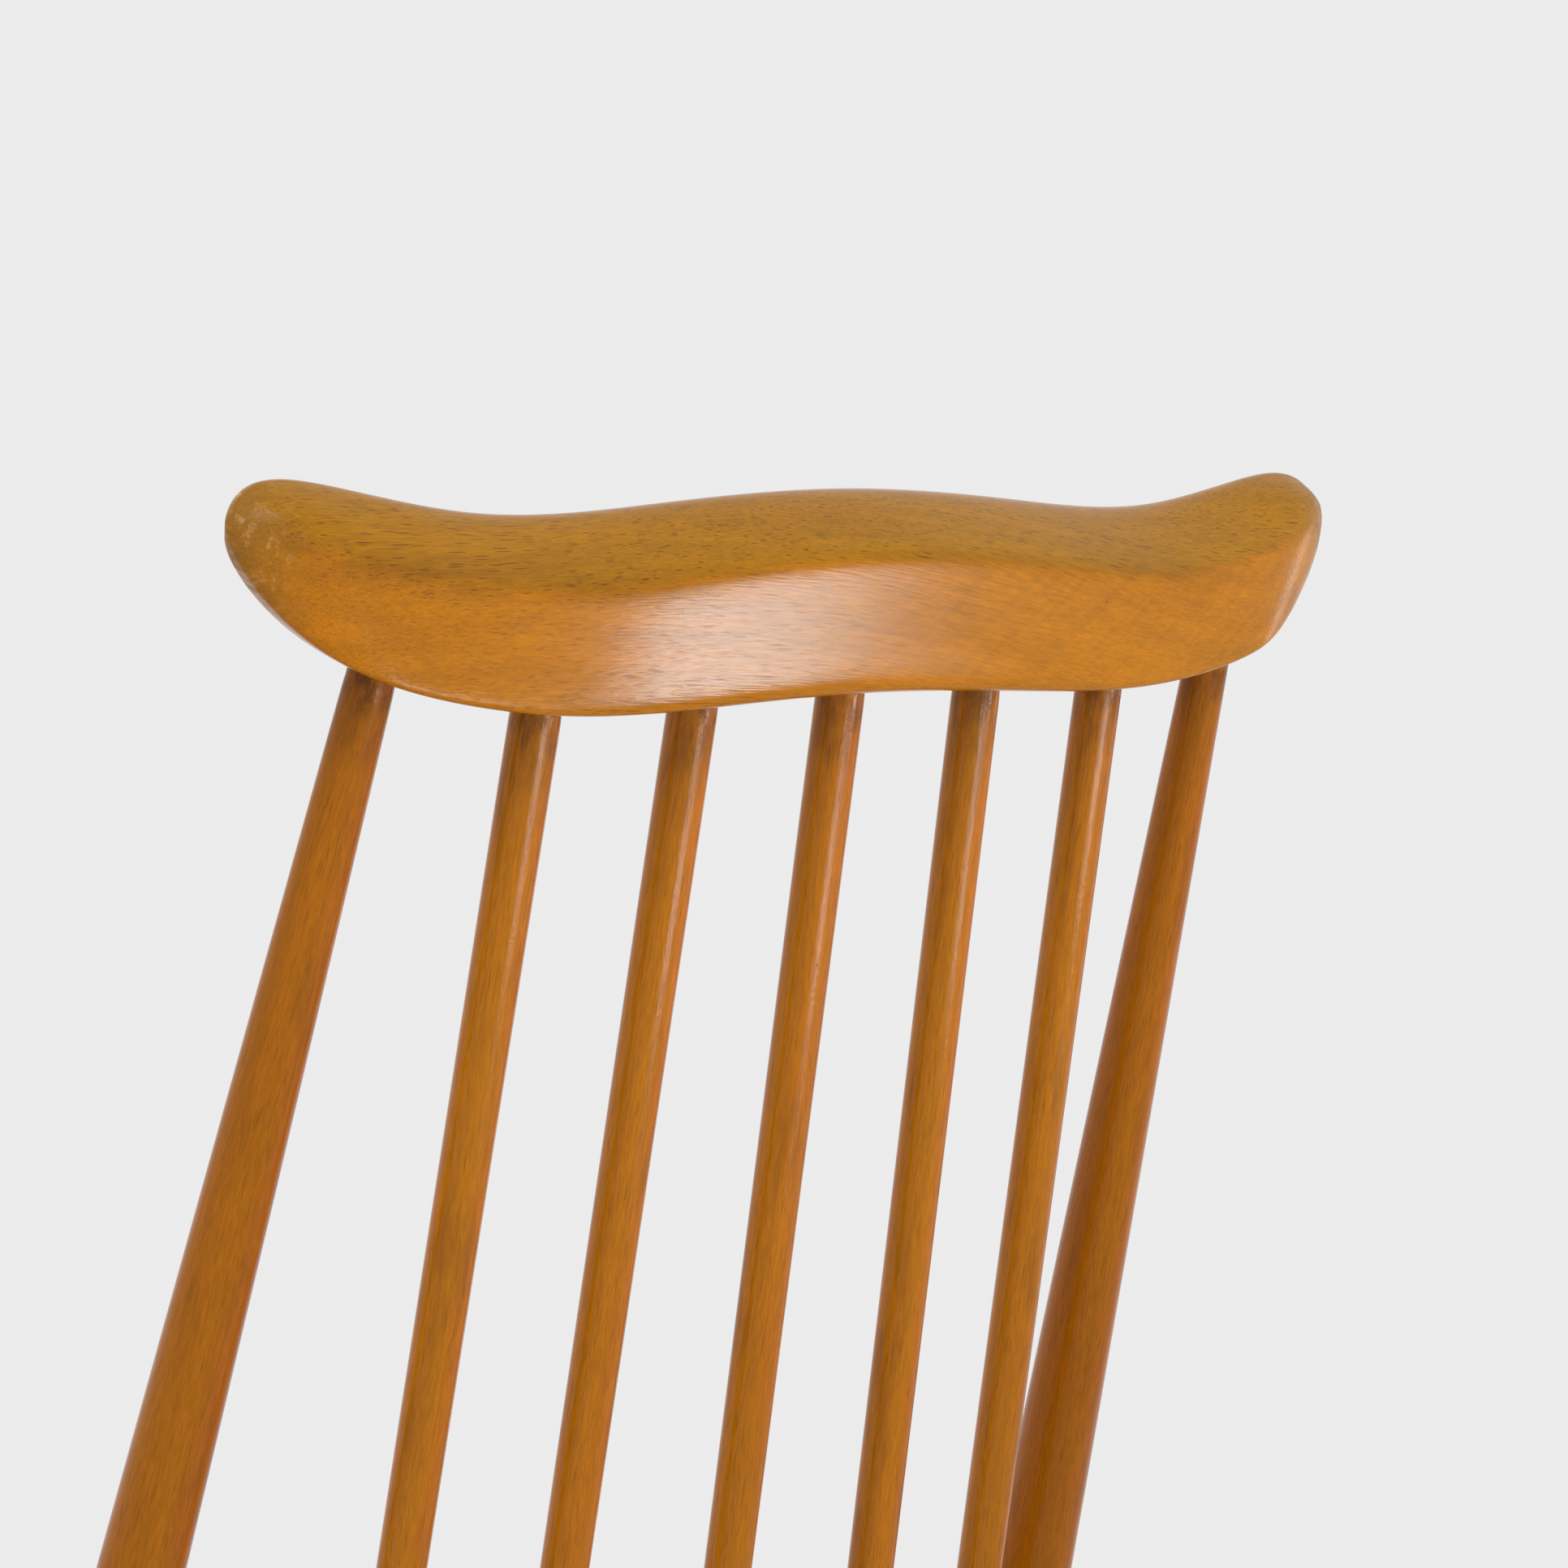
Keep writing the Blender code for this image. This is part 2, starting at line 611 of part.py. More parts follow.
def make_stretchers(legs):
    """Two side stretchers between the legs and a cross stretcher between those."""
    sides = {}
    middles = {}
    share = 1 - STRETCHER_HEIGHT / SEAT_HEIGHT
    for side, hand in ((1, "left"), (-1, "right")):
        front_head, front_foot = leg_line(True, side)
        rear_head, rear_foot = leg_line(False, side)
        first = front_head.lerp(front_foot, share)
        last = rear_head.lerp(rear_foot, share)
        rail = stretcher(f"side_stretcher_{hand}", first, last, leg_radius(STRETCHER_HEIGHT), LEG_SOCKET_DEPTH)
        cut(legs["front", hand].piece, rail.lower_socket())
        cut(legs["rear", hand].piece, rail.upper_socket())
        sides[hand] = rail
        middles[hand] = first.lerp(last, CROSS_STRETCHER_SHARE)
    cross = stretcher("cross_stretcher", middles["right"], middles["left"], STRETCHER_SWELL_DIAMETER / 2,
                      CROSS_SOCKET_DEPTH)
    cut(sides["right"].piece, cross.lower_socket())
    cut(sides["left"].piece, cross.upper_socket())


def stand_over_origin():
    """Move the root so that the origin lies under the middle of the chair's box."""
    bpy.context.view_layer.update()
    graph = bpy.context.evaluated_depsgraph_get()
    corners = []
    for piece in chair.objects:
        if piece.type == "MESH":
            solid = piece.evaluated_get(graph)
            corners += [solid.matrix_world @ vert.co for vert in solid.data.vertices]
    for axis in (0, 1):
        values = [corner[axis] for corner in corners]
        root.location[axis] = -(min(values) + max(values)) / 2
    bpy.context.view_layer.update()


for old in list(bpy.data.objects):
    bpy.data.objects.remove(old, do_unlink=True)
chair = new_collection("windsor_chair")
cutters = new_collection("cutters")
root = bpy.data.objects.new("chair_root", None)
chair.objects.link(root)

seat = add_piece("seat", seat_mesh(), ELM)
crest_rail = add_piece("crest_rail", crest_mesh(), BEECH)
for comb_stick in make_spindles() + make_posts():
    cut(seat, comb_stick.lower_socket())
    cut(crest_rail, comb_stick.upper_socket())
chair_legs = make_legs(add_cutter("above_seat", above_seat_mesh()))
for chair_leg in chair_legs.values():
    cut(seat, chair_leg.upper_socket())
make_stretchers(chair_legs)
stand_over_origin()

for part in chair.objects:
    if part.type == "MESH":
        part.data.shade_smooth()
        part.data.set_sharp_from_angle(angle=SHARP_ANGLE)
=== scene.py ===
"""Looks of a comb-back windsor side chair.

A carved beech crest on turned sticks, a saddled elm seat, and turned legs with stretchers. Every piece stands
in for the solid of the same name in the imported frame, in metres, +Z up, with the sitter facing -Y.
"""
import json
import math

import bmesh
import bpy
import numpy as np
from bpy.props import FloatProperty, FloatVectorProperty, PointerProperty
from bpy.types import Operator, Panel, PropertyGroup
from mathutils import Matrix, Vector


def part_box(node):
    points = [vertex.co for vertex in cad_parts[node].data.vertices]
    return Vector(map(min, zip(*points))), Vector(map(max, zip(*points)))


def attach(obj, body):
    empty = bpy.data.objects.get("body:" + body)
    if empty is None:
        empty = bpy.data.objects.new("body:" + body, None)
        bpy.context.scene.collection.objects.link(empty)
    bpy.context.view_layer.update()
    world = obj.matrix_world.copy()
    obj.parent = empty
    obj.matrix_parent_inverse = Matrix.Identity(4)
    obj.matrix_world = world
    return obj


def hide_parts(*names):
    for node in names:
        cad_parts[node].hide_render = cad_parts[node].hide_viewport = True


bl_info = {
    "name": "Windsor chair",
    "version": (1, 0, 0),
    "blender": (4, 5, 0),
    "location": "3D View > Sidebar > Windsor chair",
    "description": "Builds a comb-back windsor side chair with its wood finishes and a plain studio",
    "category": "Add Mesh",
}

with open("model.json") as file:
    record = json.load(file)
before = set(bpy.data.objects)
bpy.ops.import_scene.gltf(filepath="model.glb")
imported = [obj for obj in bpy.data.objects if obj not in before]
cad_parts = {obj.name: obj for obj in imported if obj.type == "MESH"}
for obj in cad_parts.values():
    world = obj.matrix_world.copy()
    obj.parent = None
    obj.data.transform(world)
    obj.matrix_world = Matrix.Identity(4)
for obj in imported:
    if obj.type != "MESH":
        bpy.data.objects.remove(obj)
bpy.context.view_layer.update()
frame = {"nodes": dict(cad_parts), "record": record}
FEET = {mount["name"]: Vector(mount["pos_m"]) for mount in frame["record"]["mounts"]}
SEAT_LOW, SEAT_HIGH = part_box("seat")
CREST_LOW, CREST_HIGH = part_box("crest_rail")
LEGS = (("front", "left"), ("front", "right"), ("rear", "left"), ("rear", "right"))
STICKS = ("back_post_left", "spindle_1", "spindle_2", "spindle_3", "spindle_4", "spindle_5",
          "back_post_right")
STRETCHERS = ("side_stretcher_left", "side_stretcher_right", "cross_stretcher")

# Fineness of the meshes
TURNED_SIDES = 48
CREST_STATIONS = 170
CREST_SIDES = 112
SEAT_CELLS = 84
RIM_STEPS = 6
SPLINE_STEPS = 900
SHARP_ANGLE = math.radians(32)
END_SLICE = 0.0005              # how near to a turned end its corner points lie
MERGE = 1e-6

# Seat plan: share of half the width, share of the depth from the rear edge
SEAT_PLAN = (
    (0.00, -0.01), (0.46, 0.00), (0.87, 0.15), (1.04, 0.38), (1.01, 0.60),
    (0.98, 0.84), (0.88, 1.03), (0.42, 1.01), (0.00, 1.01),
)
# Crest elevation: share of half the length, share of the height, along the top, round the tip and back
CREST_PATTERN = (
    (0.000, 1.002), (0.315, 0.925), (0.630, 0.811), (0.945, 1.128), (1.000, 0.890), (1.005, 0.762),
    (0.952, 0.476), (0.831, 0.160), (0.536, -0.057), (0.268, -0.022), (0.000, 0.014),
)
# Crest section: share of the thickness to the rear, share of the height
CREST_SECTION = (
    (-0.46, 0.10), (-0.44, 0.50), (-0.46, 0.86), (-0.36, 1.03), (-0.12, 1.03), (0.18, 0.86),
    (0.47, 0.662), (0.518, 0.580), (0.518, 0.36), (0.515, 0.12), (0.512, 0.01), (0.49, -0.028),
    (0.30, -0.03), (-0.25, -0.03),
)
SECTION_CREASE = 0.60           # share of the height where the top slope meets the rear face
TIP_MELT = (0.78, 1.0)          # shares of half the length between which the crease melts
REAR_MELT = (-0.15, 0.30)       # shares of the thickness behind the middle between which it melts
LEG_TRIM = 0.020                # spare length on a leg's head, which is cut off flush
END_GRAIN = (0.018, 0.002)      # distances from the crest's tips between which end grain starts to show
# The brown band where the crest is held: where it grows along x, its half width and how much that grows
HELD_RISE = (0.02, 0.16)
HELD_WIDTH, HELD_GROWTH = 0.0022, 0.0038
# How far grime reaches from the joints
CREST_GRIME, SPINDLE_GRIME, POST_GRIME = 0.0085, 0.0095, 0.0125
SEAT_GRIME, LEG_GRIME, STRETCHER_GRIME = 0.011, 0.012, 0.009
# Softboxes: place and size, and those whose grid keeps their light off the floor
SOFTBOXES = {
    "key": ((0.80, 1.40, 2.70), (1.4, 1.0)),
    "fill": ((0.3, -1.7, 2.4), (1.4, 1.0)),
    "left": ((1.60, 0.50, 2.00), (0.5, 0.5)),
    "window": ((-1.243, 1.938, 0.56), (0.38, 0.68)),
    "low": ((-0.25, 1.39, 0.34), (0.70, 0.14)),
    "side": ((-2.25, 0.50, 0.85), (0.22, 0.80)),
}
GRIDDED = ("window", "low", "side")
GRID_AIM = 0.20                 # how far above the crest these aim
FLOOR_RADIUS = 2.3
FLOOR_FADE = (1.3, 2.2)         # distances between which the floor fades into the backdrop
SENSOR_WIDTH = 36.0             # mm
# Small old marks in the wood: place and radius
MARKS = {
    "crest_rail": (((0.108, 0.237, 0.971), 0.0026), ((0.022, 0.247, 0.971), 0.0024),
                   ((-0.078, 0.250, 0.952), 0.0007)),
    "spindle_3": (((0.0017, 0.222, 0.857), 0.0007),),
}


def length(name, description, default):
    return FloatProperty(name=name, description=description, default=default, unit="LENGTH", precision=4)


def share(name, description, default, high=1.0):
    return FloatProperty(name=name, description=description, default=default, min=0.0, max=high)


def power(name, description, default):
    return FloatProperty(name=name, description=description, default=default, unit="POWER")


def angle(name, description, degrees):
    return FloatProperty(name=name, description=description, default=math.radians(degrees), subtype="ANGLE")


def colour(name, description, default):
    return FloatVectorProperty(name=name, description=description, default=default, subtype="COLOR", size=3,
                               min=0.0, max=1.0)


class CrestSizes(PropertyGroup):
    length: length("Length", "Tip to tip", CREST_HIGH.x - CREST_LOW.x)
    base: length("Base", "Height of the underside at the middle", 0.9301)
    height: length("Height", "Underside to top edge at the middle", 0.0530)
    thickness: length("Thickness", "Front to back at the middle", 0.0309)
    end_thickness: length("End thickness", "Front to back before the ends round off", 0.0252)
    setback: length("Setback", "Middle of the crest behind the line of the sticks", 0.0042)
    tip_setback: length("Tip setback", "How much further behind that line the tips are", 0.0016)
    lean: length("Lean", "How far the middle leans back over the height", 0.00563)
    end_lean: length("End lean", "How far the ends lean back over the height", 0.00297)
    twist: length("Twist", "Drop of the underside's rear edge at the ends", 0.0048)
    arc_radius: length("Arc radius", "Bend of the crest, seen from above", 1.8)
    crease: share("Crease", "Height of the rear crease at the middle", 0.665)
    end_crease: share("End crease", "Height of the rear crease at the ends", 0.520)
    roundness: share("Roundness", "Higher makes blunter ends", 8.9, 40.0)
    tip_bulge: share("Tip bulge", "How far the crease melts into a round bulge at the tips", 0.65)


class StickSizes(PropertyGroup):
    spindle: length("Spindle", "Diameter of a spindle", 0.0131)
    post_top: length("Post top", "Diameter of a post under the crest", 0.0125)
    post_swell: length("Post swell", "Diameter of a post at its thickest", 0.0270)
    post_foot: length("Post foot", "Diameter of a post on the seat", 0.0205)
    swell_height: length("Swell height", "Thickest point above the seat, along the post", 0.150)
    taper_power: share("Taper power", "1 is a straight taper up the post", 1.08, 4.0)
    crest_tenon: length("Crest tenon", "Depth of the tenon in the crest", 0.020)
    seat_tenon: length("Seat tenon", "Depth of the tenon in the seat", 0.023)
    shoulder: length("Shoulder", "Length of the rounding above the tenon", 0.0040)
    step: length("Step", "How much thinner a tenon is than its stick", 0.0001)


class SeatSizes(PropertyGroup):
    saddle_depth: length("Saddle depth", "Deepest point below the rim", 0.012)
    saddle_width: length("Saddle width", "Hollow from side to side", 0.350)
    saddle_length: length("Saddle length", "Hollow from front to back", 0.300)
    saddle_setback: length("Saddle setback", "Rear edge to the deepest point", 0.205)
    pommel_width: length("Pommel width", "Ridge at the front between the thighs", 0.090)
    pommel_share: share("Pommel", "Part of the hollow that the pommel fills", 0.55)
    front_fall: length("Front fall", "Drop of the front corners", 0.007)
    fall_length: length("Fall length", "How far back the drop reaches", 0.120)
    rim_round: length("Rim round", "Rounding of the top edge", 0.008)
    bevel_width: length("Bevel width", "How far the bevel underneath reaches in", 0.020)
    bevel_height: length("Bevel height", "How far the bevel rises", 0.013)


class LegSizes(PropertyGroup):
    head: length("Head", "Diameter at the seat's top", 0.0225)
    neck: length("Neck", "Diameter under the seat", 0.0255)
    swell: length("Swell", "Diameter at the thickest", 0.0370)
    foot: length("Foot", "Diameter on the floor", 0.0250)
    swell_height: length("Swell height", "Thickest point above the floor", 0.235)
    chamfer: length("Chamfer", "Broken edge round the foot", 0.0015)
    wedge: length("Wedge", "Thickness of the wedge at the head", 0.0026)
    wedge_tip: length("Wedge tip", "Thickness of the wedge at its tip", 0.0010)
    wedge_depth: length("Wedge depth", "How deep the wedge is driven", 0.018)
    wedge_margin: length("Wedge margin", "End of the wedge to the tenon's side", 0.0007)
    stretcher_swell: length("Stretcher swell", "Diameter of a stretcher at its middle", 0.0235)
    stretcher_end: length("Stretcher end", "Diameter of a stretcher at its ends", 0.0165)
    leg_socket: length("Leg socket", "Depth of a stretcher's socket in a leg", 0.015)
    cross_socket: length("Cross socket", "Depth of the cross stretcher's sockets", 0.011)
    clearance: length("Clearance", "Gap between a tenon and its socket", 0.0002)


class Finishes(PropertyGroup):
    # Painted light: the crest's two colours are one beech in two tints, cool light on its top and warm on its
    # rear
    crest_top_cool_lit: colour("Crest top", "Painted cool-lit beech above the crease", (0.415, 0.168, 0.0))
    crest_rear_warm_lit: colour("Crest rear", "Painted warm-lit beech below the crease", (0.545, 0.175, 0.0))
    crest_held: colour("Crest held", "Handled beech along the crease", (0.300, 0.105, 0.004))
    crest_end: colour("Crest end", "End grain of the crest", (0.320, 0.140, 0.012))
    # Painted highlight, with real wear: the pale colour at the crest's tips stands for scuffs and for glints
    # on them
    crest_wear_and_highlight: colour("Crest worn", "Pale scuffs and painted highlights at the crest's tips", (0.600, 0.380, 0.160))
    # Painted light: each pair colours the two sides of a turned piece in two tints of the light falling on
    # them
    stick_cool_lit: colour("Stick amber", "Painted cool-lit side of the sticks", (0.500, 0.168, 0.002))
    stick_warm_lit: colour("Stick brown", "Painted warm-lit side of the sticks", (0.540, 0.145, 0.004))
    post_cool_lit: colour("Post amber", "Painted cool-lit side of the posts", (0.430, 0.134, 0.002))
    post_warm_lit: colour("Post brown", "Painted warm-lit side of the posts", (0.460, 0.120, 0.005))
    stick_stain: colour("Stick stain", "Dark patches on the sticks", (0.200, 0.055, 0.004))
    leg_lit_side: colour("Leg amber", "Painted lit side of the legs", (0.400, 0.140, 0.006))
    leg_shaded_side: colour("Leg brown", "Painted shaded side of the legs", (0.330, 0.100, 0.006))
    elm_pale: colour("Elm pale", "Early wood of the seat", (0.450, 0.190, 0.030))
    elm_dark: colour("Elm dark", "Late wood of the seat", (0.210, 0.070, 0.010))
    wedge: colour("Wedge", "Darker beech of the wedges", (0.180, 0.065, 0.010))
    fleck: colour("Fleck", "Short dark rays of beech", (0.130, 0.040, 0.002))
    grime: colour("Grime", "Old wax and dirt in the joints", (0.070, 0.024, 0.003))
    roughness: share("Roughness", "Satin lacquer", 0.16)
    gloss: share("Gloss", "Strength of the lacquer's reflection", 0.21)
    post_gloss: share("Post gloss", "Strength of the reflection on the worn posts", 0.16)


class StudioSettings(PropertyGroup):
    background: colour("Background", "Plain backdrop", (0.835, 0.835, 0.835))
    floor: colour("Floor", "Pale floor", (0.86, 0.86, 0.86))
    ambient: share("Ambient", "Soft light from all around", 0.58, 10.0)
    key: power("Key", "Power of the box above the camera", 22.0)
    fill: power("Fill", "Power of the box above the chair's front", 14.0)
    left: power("Left", "Power of the small box above the chair's left", 4.0)
    window: power("Window", "Power of the tall box behind the chair's right", 1.48)
    daylight: colour("Daylight", "Tint of the tall box", (0.64, 0.88, 1.0))
    low: power("Low", "Power of the low box beside the camera", 0.38)
    side: power("Side", "Power of the strip on the chair's right", 0.10)
    grid: angle("Grid", "Spread of the boxes whose light is kept off the floor", 50.0)
    camera: FloatVectorProperty(name="Camera", description="Place of the camera", subtype="TRANSLATION",
                                unit="LENGTH", default=(0.7296, 1.0601, 0.9947))
    yaw: angle("Yaw", "Heading of the camera, from +Y towards +X", 220.53)
    pitch: angle("Pitch", "Tilt of the camera", -4.61)
    lens: FloatProperty(name="Lens", description="Focal length of the camera", unit="CAMERA", default=96.89)


class WindsorChair(PropertyGroup):
    crest: PointerProperty(type=CrestSizes)
    stick: PointerProperty(type=StickSizes)
    seat: PointerProperty(type=SeatSizes)
    leg: PointerProperty(type=LegSizes)
    finish: PointerProperty(type=Finishes)
    studio: PointerProperty(type=StudioSettings)


def spline(points, steps, closed=False):
    """Points along a uniform cubic B-spline."""
    ring = np.array(points, dtype=float)
    if closed:
        ring = np.vstack([ring[-1], ring, ring[0], ring[1]])
    spans = len(ring) - 3
    along = np.linspace(0.0, spans, steps, endpoint=not closed)
    first = np.minimum(along.astype(int), spans - 1)
    t = (along - first)[:, None]
    weights = ((1 - t) ** 3, 3 * t ** 3 - 6 * t ** 2 + 4, -3 * t ** 3 + 3 * t ** 2 + 3 * t + 1, t ** 3)
    return sum(weight * ring[first + i] for i, weight in enumerate(weights)) / 6


def half_outline(points):
    """A smooth curve through half an outline whose ends lie on the mirror line x = 0."""
    before = (-points[1][0], points[1][1])
    after = (-points[-2][0], points[-2][1])
    return spline([before, *points, after], SPLINE_STEPS)


def arc_sag(distance, radius):
    """How far an arc falls away at a distance from its middle."""
    return radius - math.sqrt(radius * radius - distance * distance)


def smooth(value, low, high):
    """0 up to low, 1 from high, and a soft step between."""
    t = min(1.0, max(0.0, (value - low) / (high - low)))
    return t * t * (3 - 2 * t)


def corner_points(node):
    """The separate corner points of a CAD node."""
    points = np.array([vert.co for vert in frame["nodes"][node].data.vertices])
    return np.unique(points.round(6), axis=0)


def axis_ends(node, towards):
    """The middles of a turned node's two end faces, in the order that runs towards a direction."""
    points = corner_points(node)
    middle = points.mean(axis=0)
    axis = np.linalg.svd(points - middle, full_matrices=False)[2][0]
    axis = axis if axis @ np.array(towards) > 0 else -axis
    along = (points - middle) @ axis
    ends = (points[along < along.min() + END_SLICE], points[along > along.max() - END_SLICE])
    return [Vector(end.mean(axis=0)) for end in ends]


def stick_line(name):
    return axis_ends(name, (0, 0, 1))


def stretcher_line(name):
    return axis_ends(name, (1, 0, 0) if name == "cross_stretcher" else (0, 1, 0))


def leg_line(fore, hand):
    """A leg's axis from the floor to the height of the rim: it runs through the tip of the leg's wedge."""
    foot = FEET[f"foot_{fore}_{hand}"]
    points = corner_points(f"wedge_{fore}_{hand}")
    axis = points.mean(axis=0) - np.array(foot)
    tip = Vector(points[np.argsort(points @ axis)[:4]].mean(axis=0))
    return foot, foot.lerp(tip, SEAT_HIGH.z / tip.z)


def point_at_height(line, height):
    start, end = line
    return start.lerp(end, (height - start.z) / (end.z - start.z))


# Meshes
def along_axis(start, end):
    """A frame at start with Z towards end and X kept level."""
    axis = (end - start).normalized()
    level = Vector((0.0, 1.0, 0.0)).cross(axis)
    if level.length < 0.5:
        level = Vector((0.0, 0.0, 1.0)).cross(axis)
    level.normalize()
    turn = Matrix((level, axis.cross(level), axis)).transposed()
    return Matrix.Translation(start) @ turn.to_4x4()


def turned(profile, start, end):
    """A closed turning on the line from start to end, from (distance along it, radius) pairs."""
    mesh = bmesh.new()
    points = [(profile[0][0], 0.0), *profile, (profile[-1][0], 0.0)]
    verts = [mesh.verts.new((radius, 0.0, along)) for along, radius in points]
    edges = [mesh.edges.new(pair) for pair in zip(verts, verts[1:])]
    bmesh.ops.spin(mesh, geom=verts + edges, cent=(0, 0, 0), axis=(0, 0, 1), angle=math.tau,
                   steps=TURNED_SIDES, use_merge=True)
    bmesh.ops.remove_doubles(mesh, verts=mesh.verts, dist=MERGE)
    bmesh.ops.recalc_face_normals(mesh, faces=mesh.faces)
    bmesh.ops.transform(mesh, matrix=along_axis(start, end), verts=mesh.verts)
    return mesh


def new_object(name, mesh):
    data = bpy.data.meshes.new(name)
    mesh.to_mesh(data)
    mesh.free()
    made = bpy.data.objects.new(name, data)
    bpy.context.scene.collection.objects.link(made)
    return made


def cut_away(piece, meshes):
    """Cut closed meshes out of a piece for good."""
    cutters = [new_object("cutter", mesh) for mesh in meshes]
    for cutter in cutters:
        boolean = piece.modifiers.new("cut", "BOOLEAN")
        boolean.operation = "DIFFERENCE"
        boolean.solver = "MANIFOLD"
        boolean.object = cutter
    bpy.context.view_layer.update()
    graph = bpy.context.evaluated_depsgraph_get()
    solid = bpy.data.meshes.new_from_object(piece.evaluated_get(graph))
    piece.modifiers.clear()
    blank, piece.data = piece.data, solid
    bpy.data.meshes.remove(blank)
    for cutter in cutters:
        data = cutter.data
        bpy.data.objects.remove(cutter)
        bpy.data.meshes.remove(data)
    if not piece.data.polygons:
        raise RuntimeError(f"nothing is left of {piece.name} after its cuts")


def paint(piece, name, value):
    """Store value(point) at each of the piece's points, for its material to read."""
    layer = piece.data.attributes.new(name, "FLOAT", "POINT")
    layer.data.foreach_set("value", [value(vert.co) for vert in piece.data.vertices])


def finish_piece(node, mesh, cuts=()):
    """The piece that stands for a CAD node: cut, shaded smooth and riding on the chair."""
    piece = new_object(node + "_wood", mesh)
    if cuts:
        cut_away(piece, cuts)
    piece.data.shade_smooth()
    piece.data.set_sharp_from_angle(angle=SHARP_ANGLE)
    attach(piece, "root")
    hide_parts(node)
    return piece


# Crest rail
class CrestShape:
    """The carved form of the crest."""

    def __init__(self, crest):
        self.sizes = crest
        outline = half_outline(CREST_PATTERN)
        tip = int(np.argmax(outline[:, 0]))
        x = outline[:, 0] / outline[tip, 0] * crest.length / 2
        top, underside = outline[0, 1], outline[-1, 1]
        z = crest.base + (outline[:, 1] - underside) / (top - underside) * crest.height
        self.top_edge = x[:tip + 1], z[:tip + 1]
        self.lower_edge = x[tip:][::-1], z[tip:][::-1]
        self.rear, self.height = self.section(CREST_SIDES)
        self.comb_y = point_at_height(stick_line("spindle_3"), crest.base).y

    @staticmethod
    def section(steps):
        """Share of the thickness behind the section's middle, and share of the height."""
        shape = spline(CREST_SECTION, steps, closed=True)
        low, high = shape.min(axis=0), shape.max(axis=0)
        rear, height = ((shape - low) / (high - low)).T
        return rear - 0.5, height

    def low(self, x):
        return float(np.interp(abs(x), *self.lower_edge))

    def high(self, x):
        return float(np.interp(abs(x), *self.top_edge))

    def crease_share(self, end):
        return self.sizes.crease + (self.sizes.end_crease - self.sizes.crease) * end ** 2

    def crease_height(self, x):
        """Height of the crease between the top slope and the rear face."""
        end = min(1.0, abs(x) / (self.sizes.length / 2))
        return self.low(x) + (self.high(x) - self.low(x)) * self.crease_share(end)

    @staticmethod
    def bulge(height, crease):
        """Share of the thickness behind the middle on a round rear that is fullest at the crease."""
        reach, power = (1 - crease, 2.6) if height > crease else (crease, 2.0)
        return 0.5 * max(0.0, 1 - (abs(height - crease) / reach) ** power) ** (1 / power)

    def handling(self, point):
        """How brown a point is from being held: a band along the crease, broader towards the left tip."""
        held = smooth(point.x, *HELD_RISE)
        across = (point.z - self.crease_height(point.x)) / (HELD_WIDTH + HELD_GROWTH * held)
        return (0.40 + 0.40 * held) * math.exp(-across ** 2)

    def point(self, along, corner):
        """A point of the skin: along runs from tip to tip, -1 to 1, and corner round the section."""
        sizes = self.sizes
        end = abs(math.sin(along * math.pi / 2))
        x = math.copysign(end * sizes.length / 2, along)
        low, high = self.low(x), self.high(x)
        rounding = math.sqrt(max(0.0, 1 - end ** sizes.roundness))
        height = self.height[corner] ** (math.log(self.crease_share(end)) / math.log(SECTION_CREASE))
        thickness = sizes.thickness + (sizes.end_thickness - sizes.thickness) * end ** 2
        rear = self.rear[corner]
        melted = sizes.tip_bulge * smooth(end, *TIP_MELT) * smooth(rear, *REAR_MELT)
        rear += (self.bulge(height, self.crease_share(end)) - rear) * melted
        twist = 2 * sizes.twist * end ** 2 * rear * (1 - height)
        z = low + (high - low) * height - twist * rounding
        lean = (sizes.lean + (sizes.end_lean - sizes.lean) * end ** 2) / sizes.height
        setback = sizes.setback + sizes.tip_setback * end ** 2
        line = self.comb_y - arc_sag(x, sizes.arc_radius)
        return Vector((x, line + setback + lean * (z - low) + thickness * rounding * rear, z))

    def mesh(self):
        """A grid bent into a closed skin, both tips drawn to a point."""
        mesh = bmesh.new()
        bmesh.ops.create_grid(mesh, x_segments=CREST_STATIONS, y_segments=CREST_SIDES, size=1.0)
        for vert in mesh.verts:
            corner = round((vert.co.y + 1) / 2 * CREST_SIDES) % CREST_SIDES
            vert.co = self.point(vert.co.x, corner)
        bmesh.ops.remove_doubles(mesh, verts=mesh.verts, dist=MERGE)
        bmesh.ops.recalc_face_normals(mesh, faces=mesh.faces)
        return mesh


# Sticks
def shouldered(body, stick, start, span, shoulder_steps, body_steps):
    """(distance, radius) along a body that starts at a distance, between two rounded shoulders."""
    spots = [stick.shoulder * k / shoulder_steps for k in range(shoulder_steps)]
    spots += list(np.linspace(stick.shoulder, span - stick.shoulder, body_steps))
    spots += [span - spot for spot in reversed(spots[:shoulder_steps])]
    profile = []
    for spot in spots:
        nearest = min(1.0, min(spot, span - spot) / stick.shoulder)
        profile.append((start + spot, body(spot) - stick.step * (1 - math.sin(nearest * math.pi / 2))))
    return profile


def stick_profile(name, stick, total):
    """(distance from the lower end, radius) of a stick: tenon, rounded shoulder, body, shoulder, tenon."""
    foot, top = stick.seat_tenon, total - stick.crest_tenon
    span = top - foot

    def body(above):
        if name.startswith("spindle"):
            return stick.spindle / 2
        if above < stick.swell_height:
            swell = math.sin(above / stick.swell_height * math.pi / 2)
            return (stick.post_foot + (stick.post_swell - stick.post_foot) * swell) / 2
        rise = (above - stick.swell_height) / (span - stick.swell_height)
        return (stick.post_swell - (stick.post_swell - stick.post_top) * rise ** stick.taper_power) / 2

    return [(0.0, body(0.0) - stick.step), *shouldered(body, stick, foot, span, 6, 30),
            (total, body(span) - stick.step)]


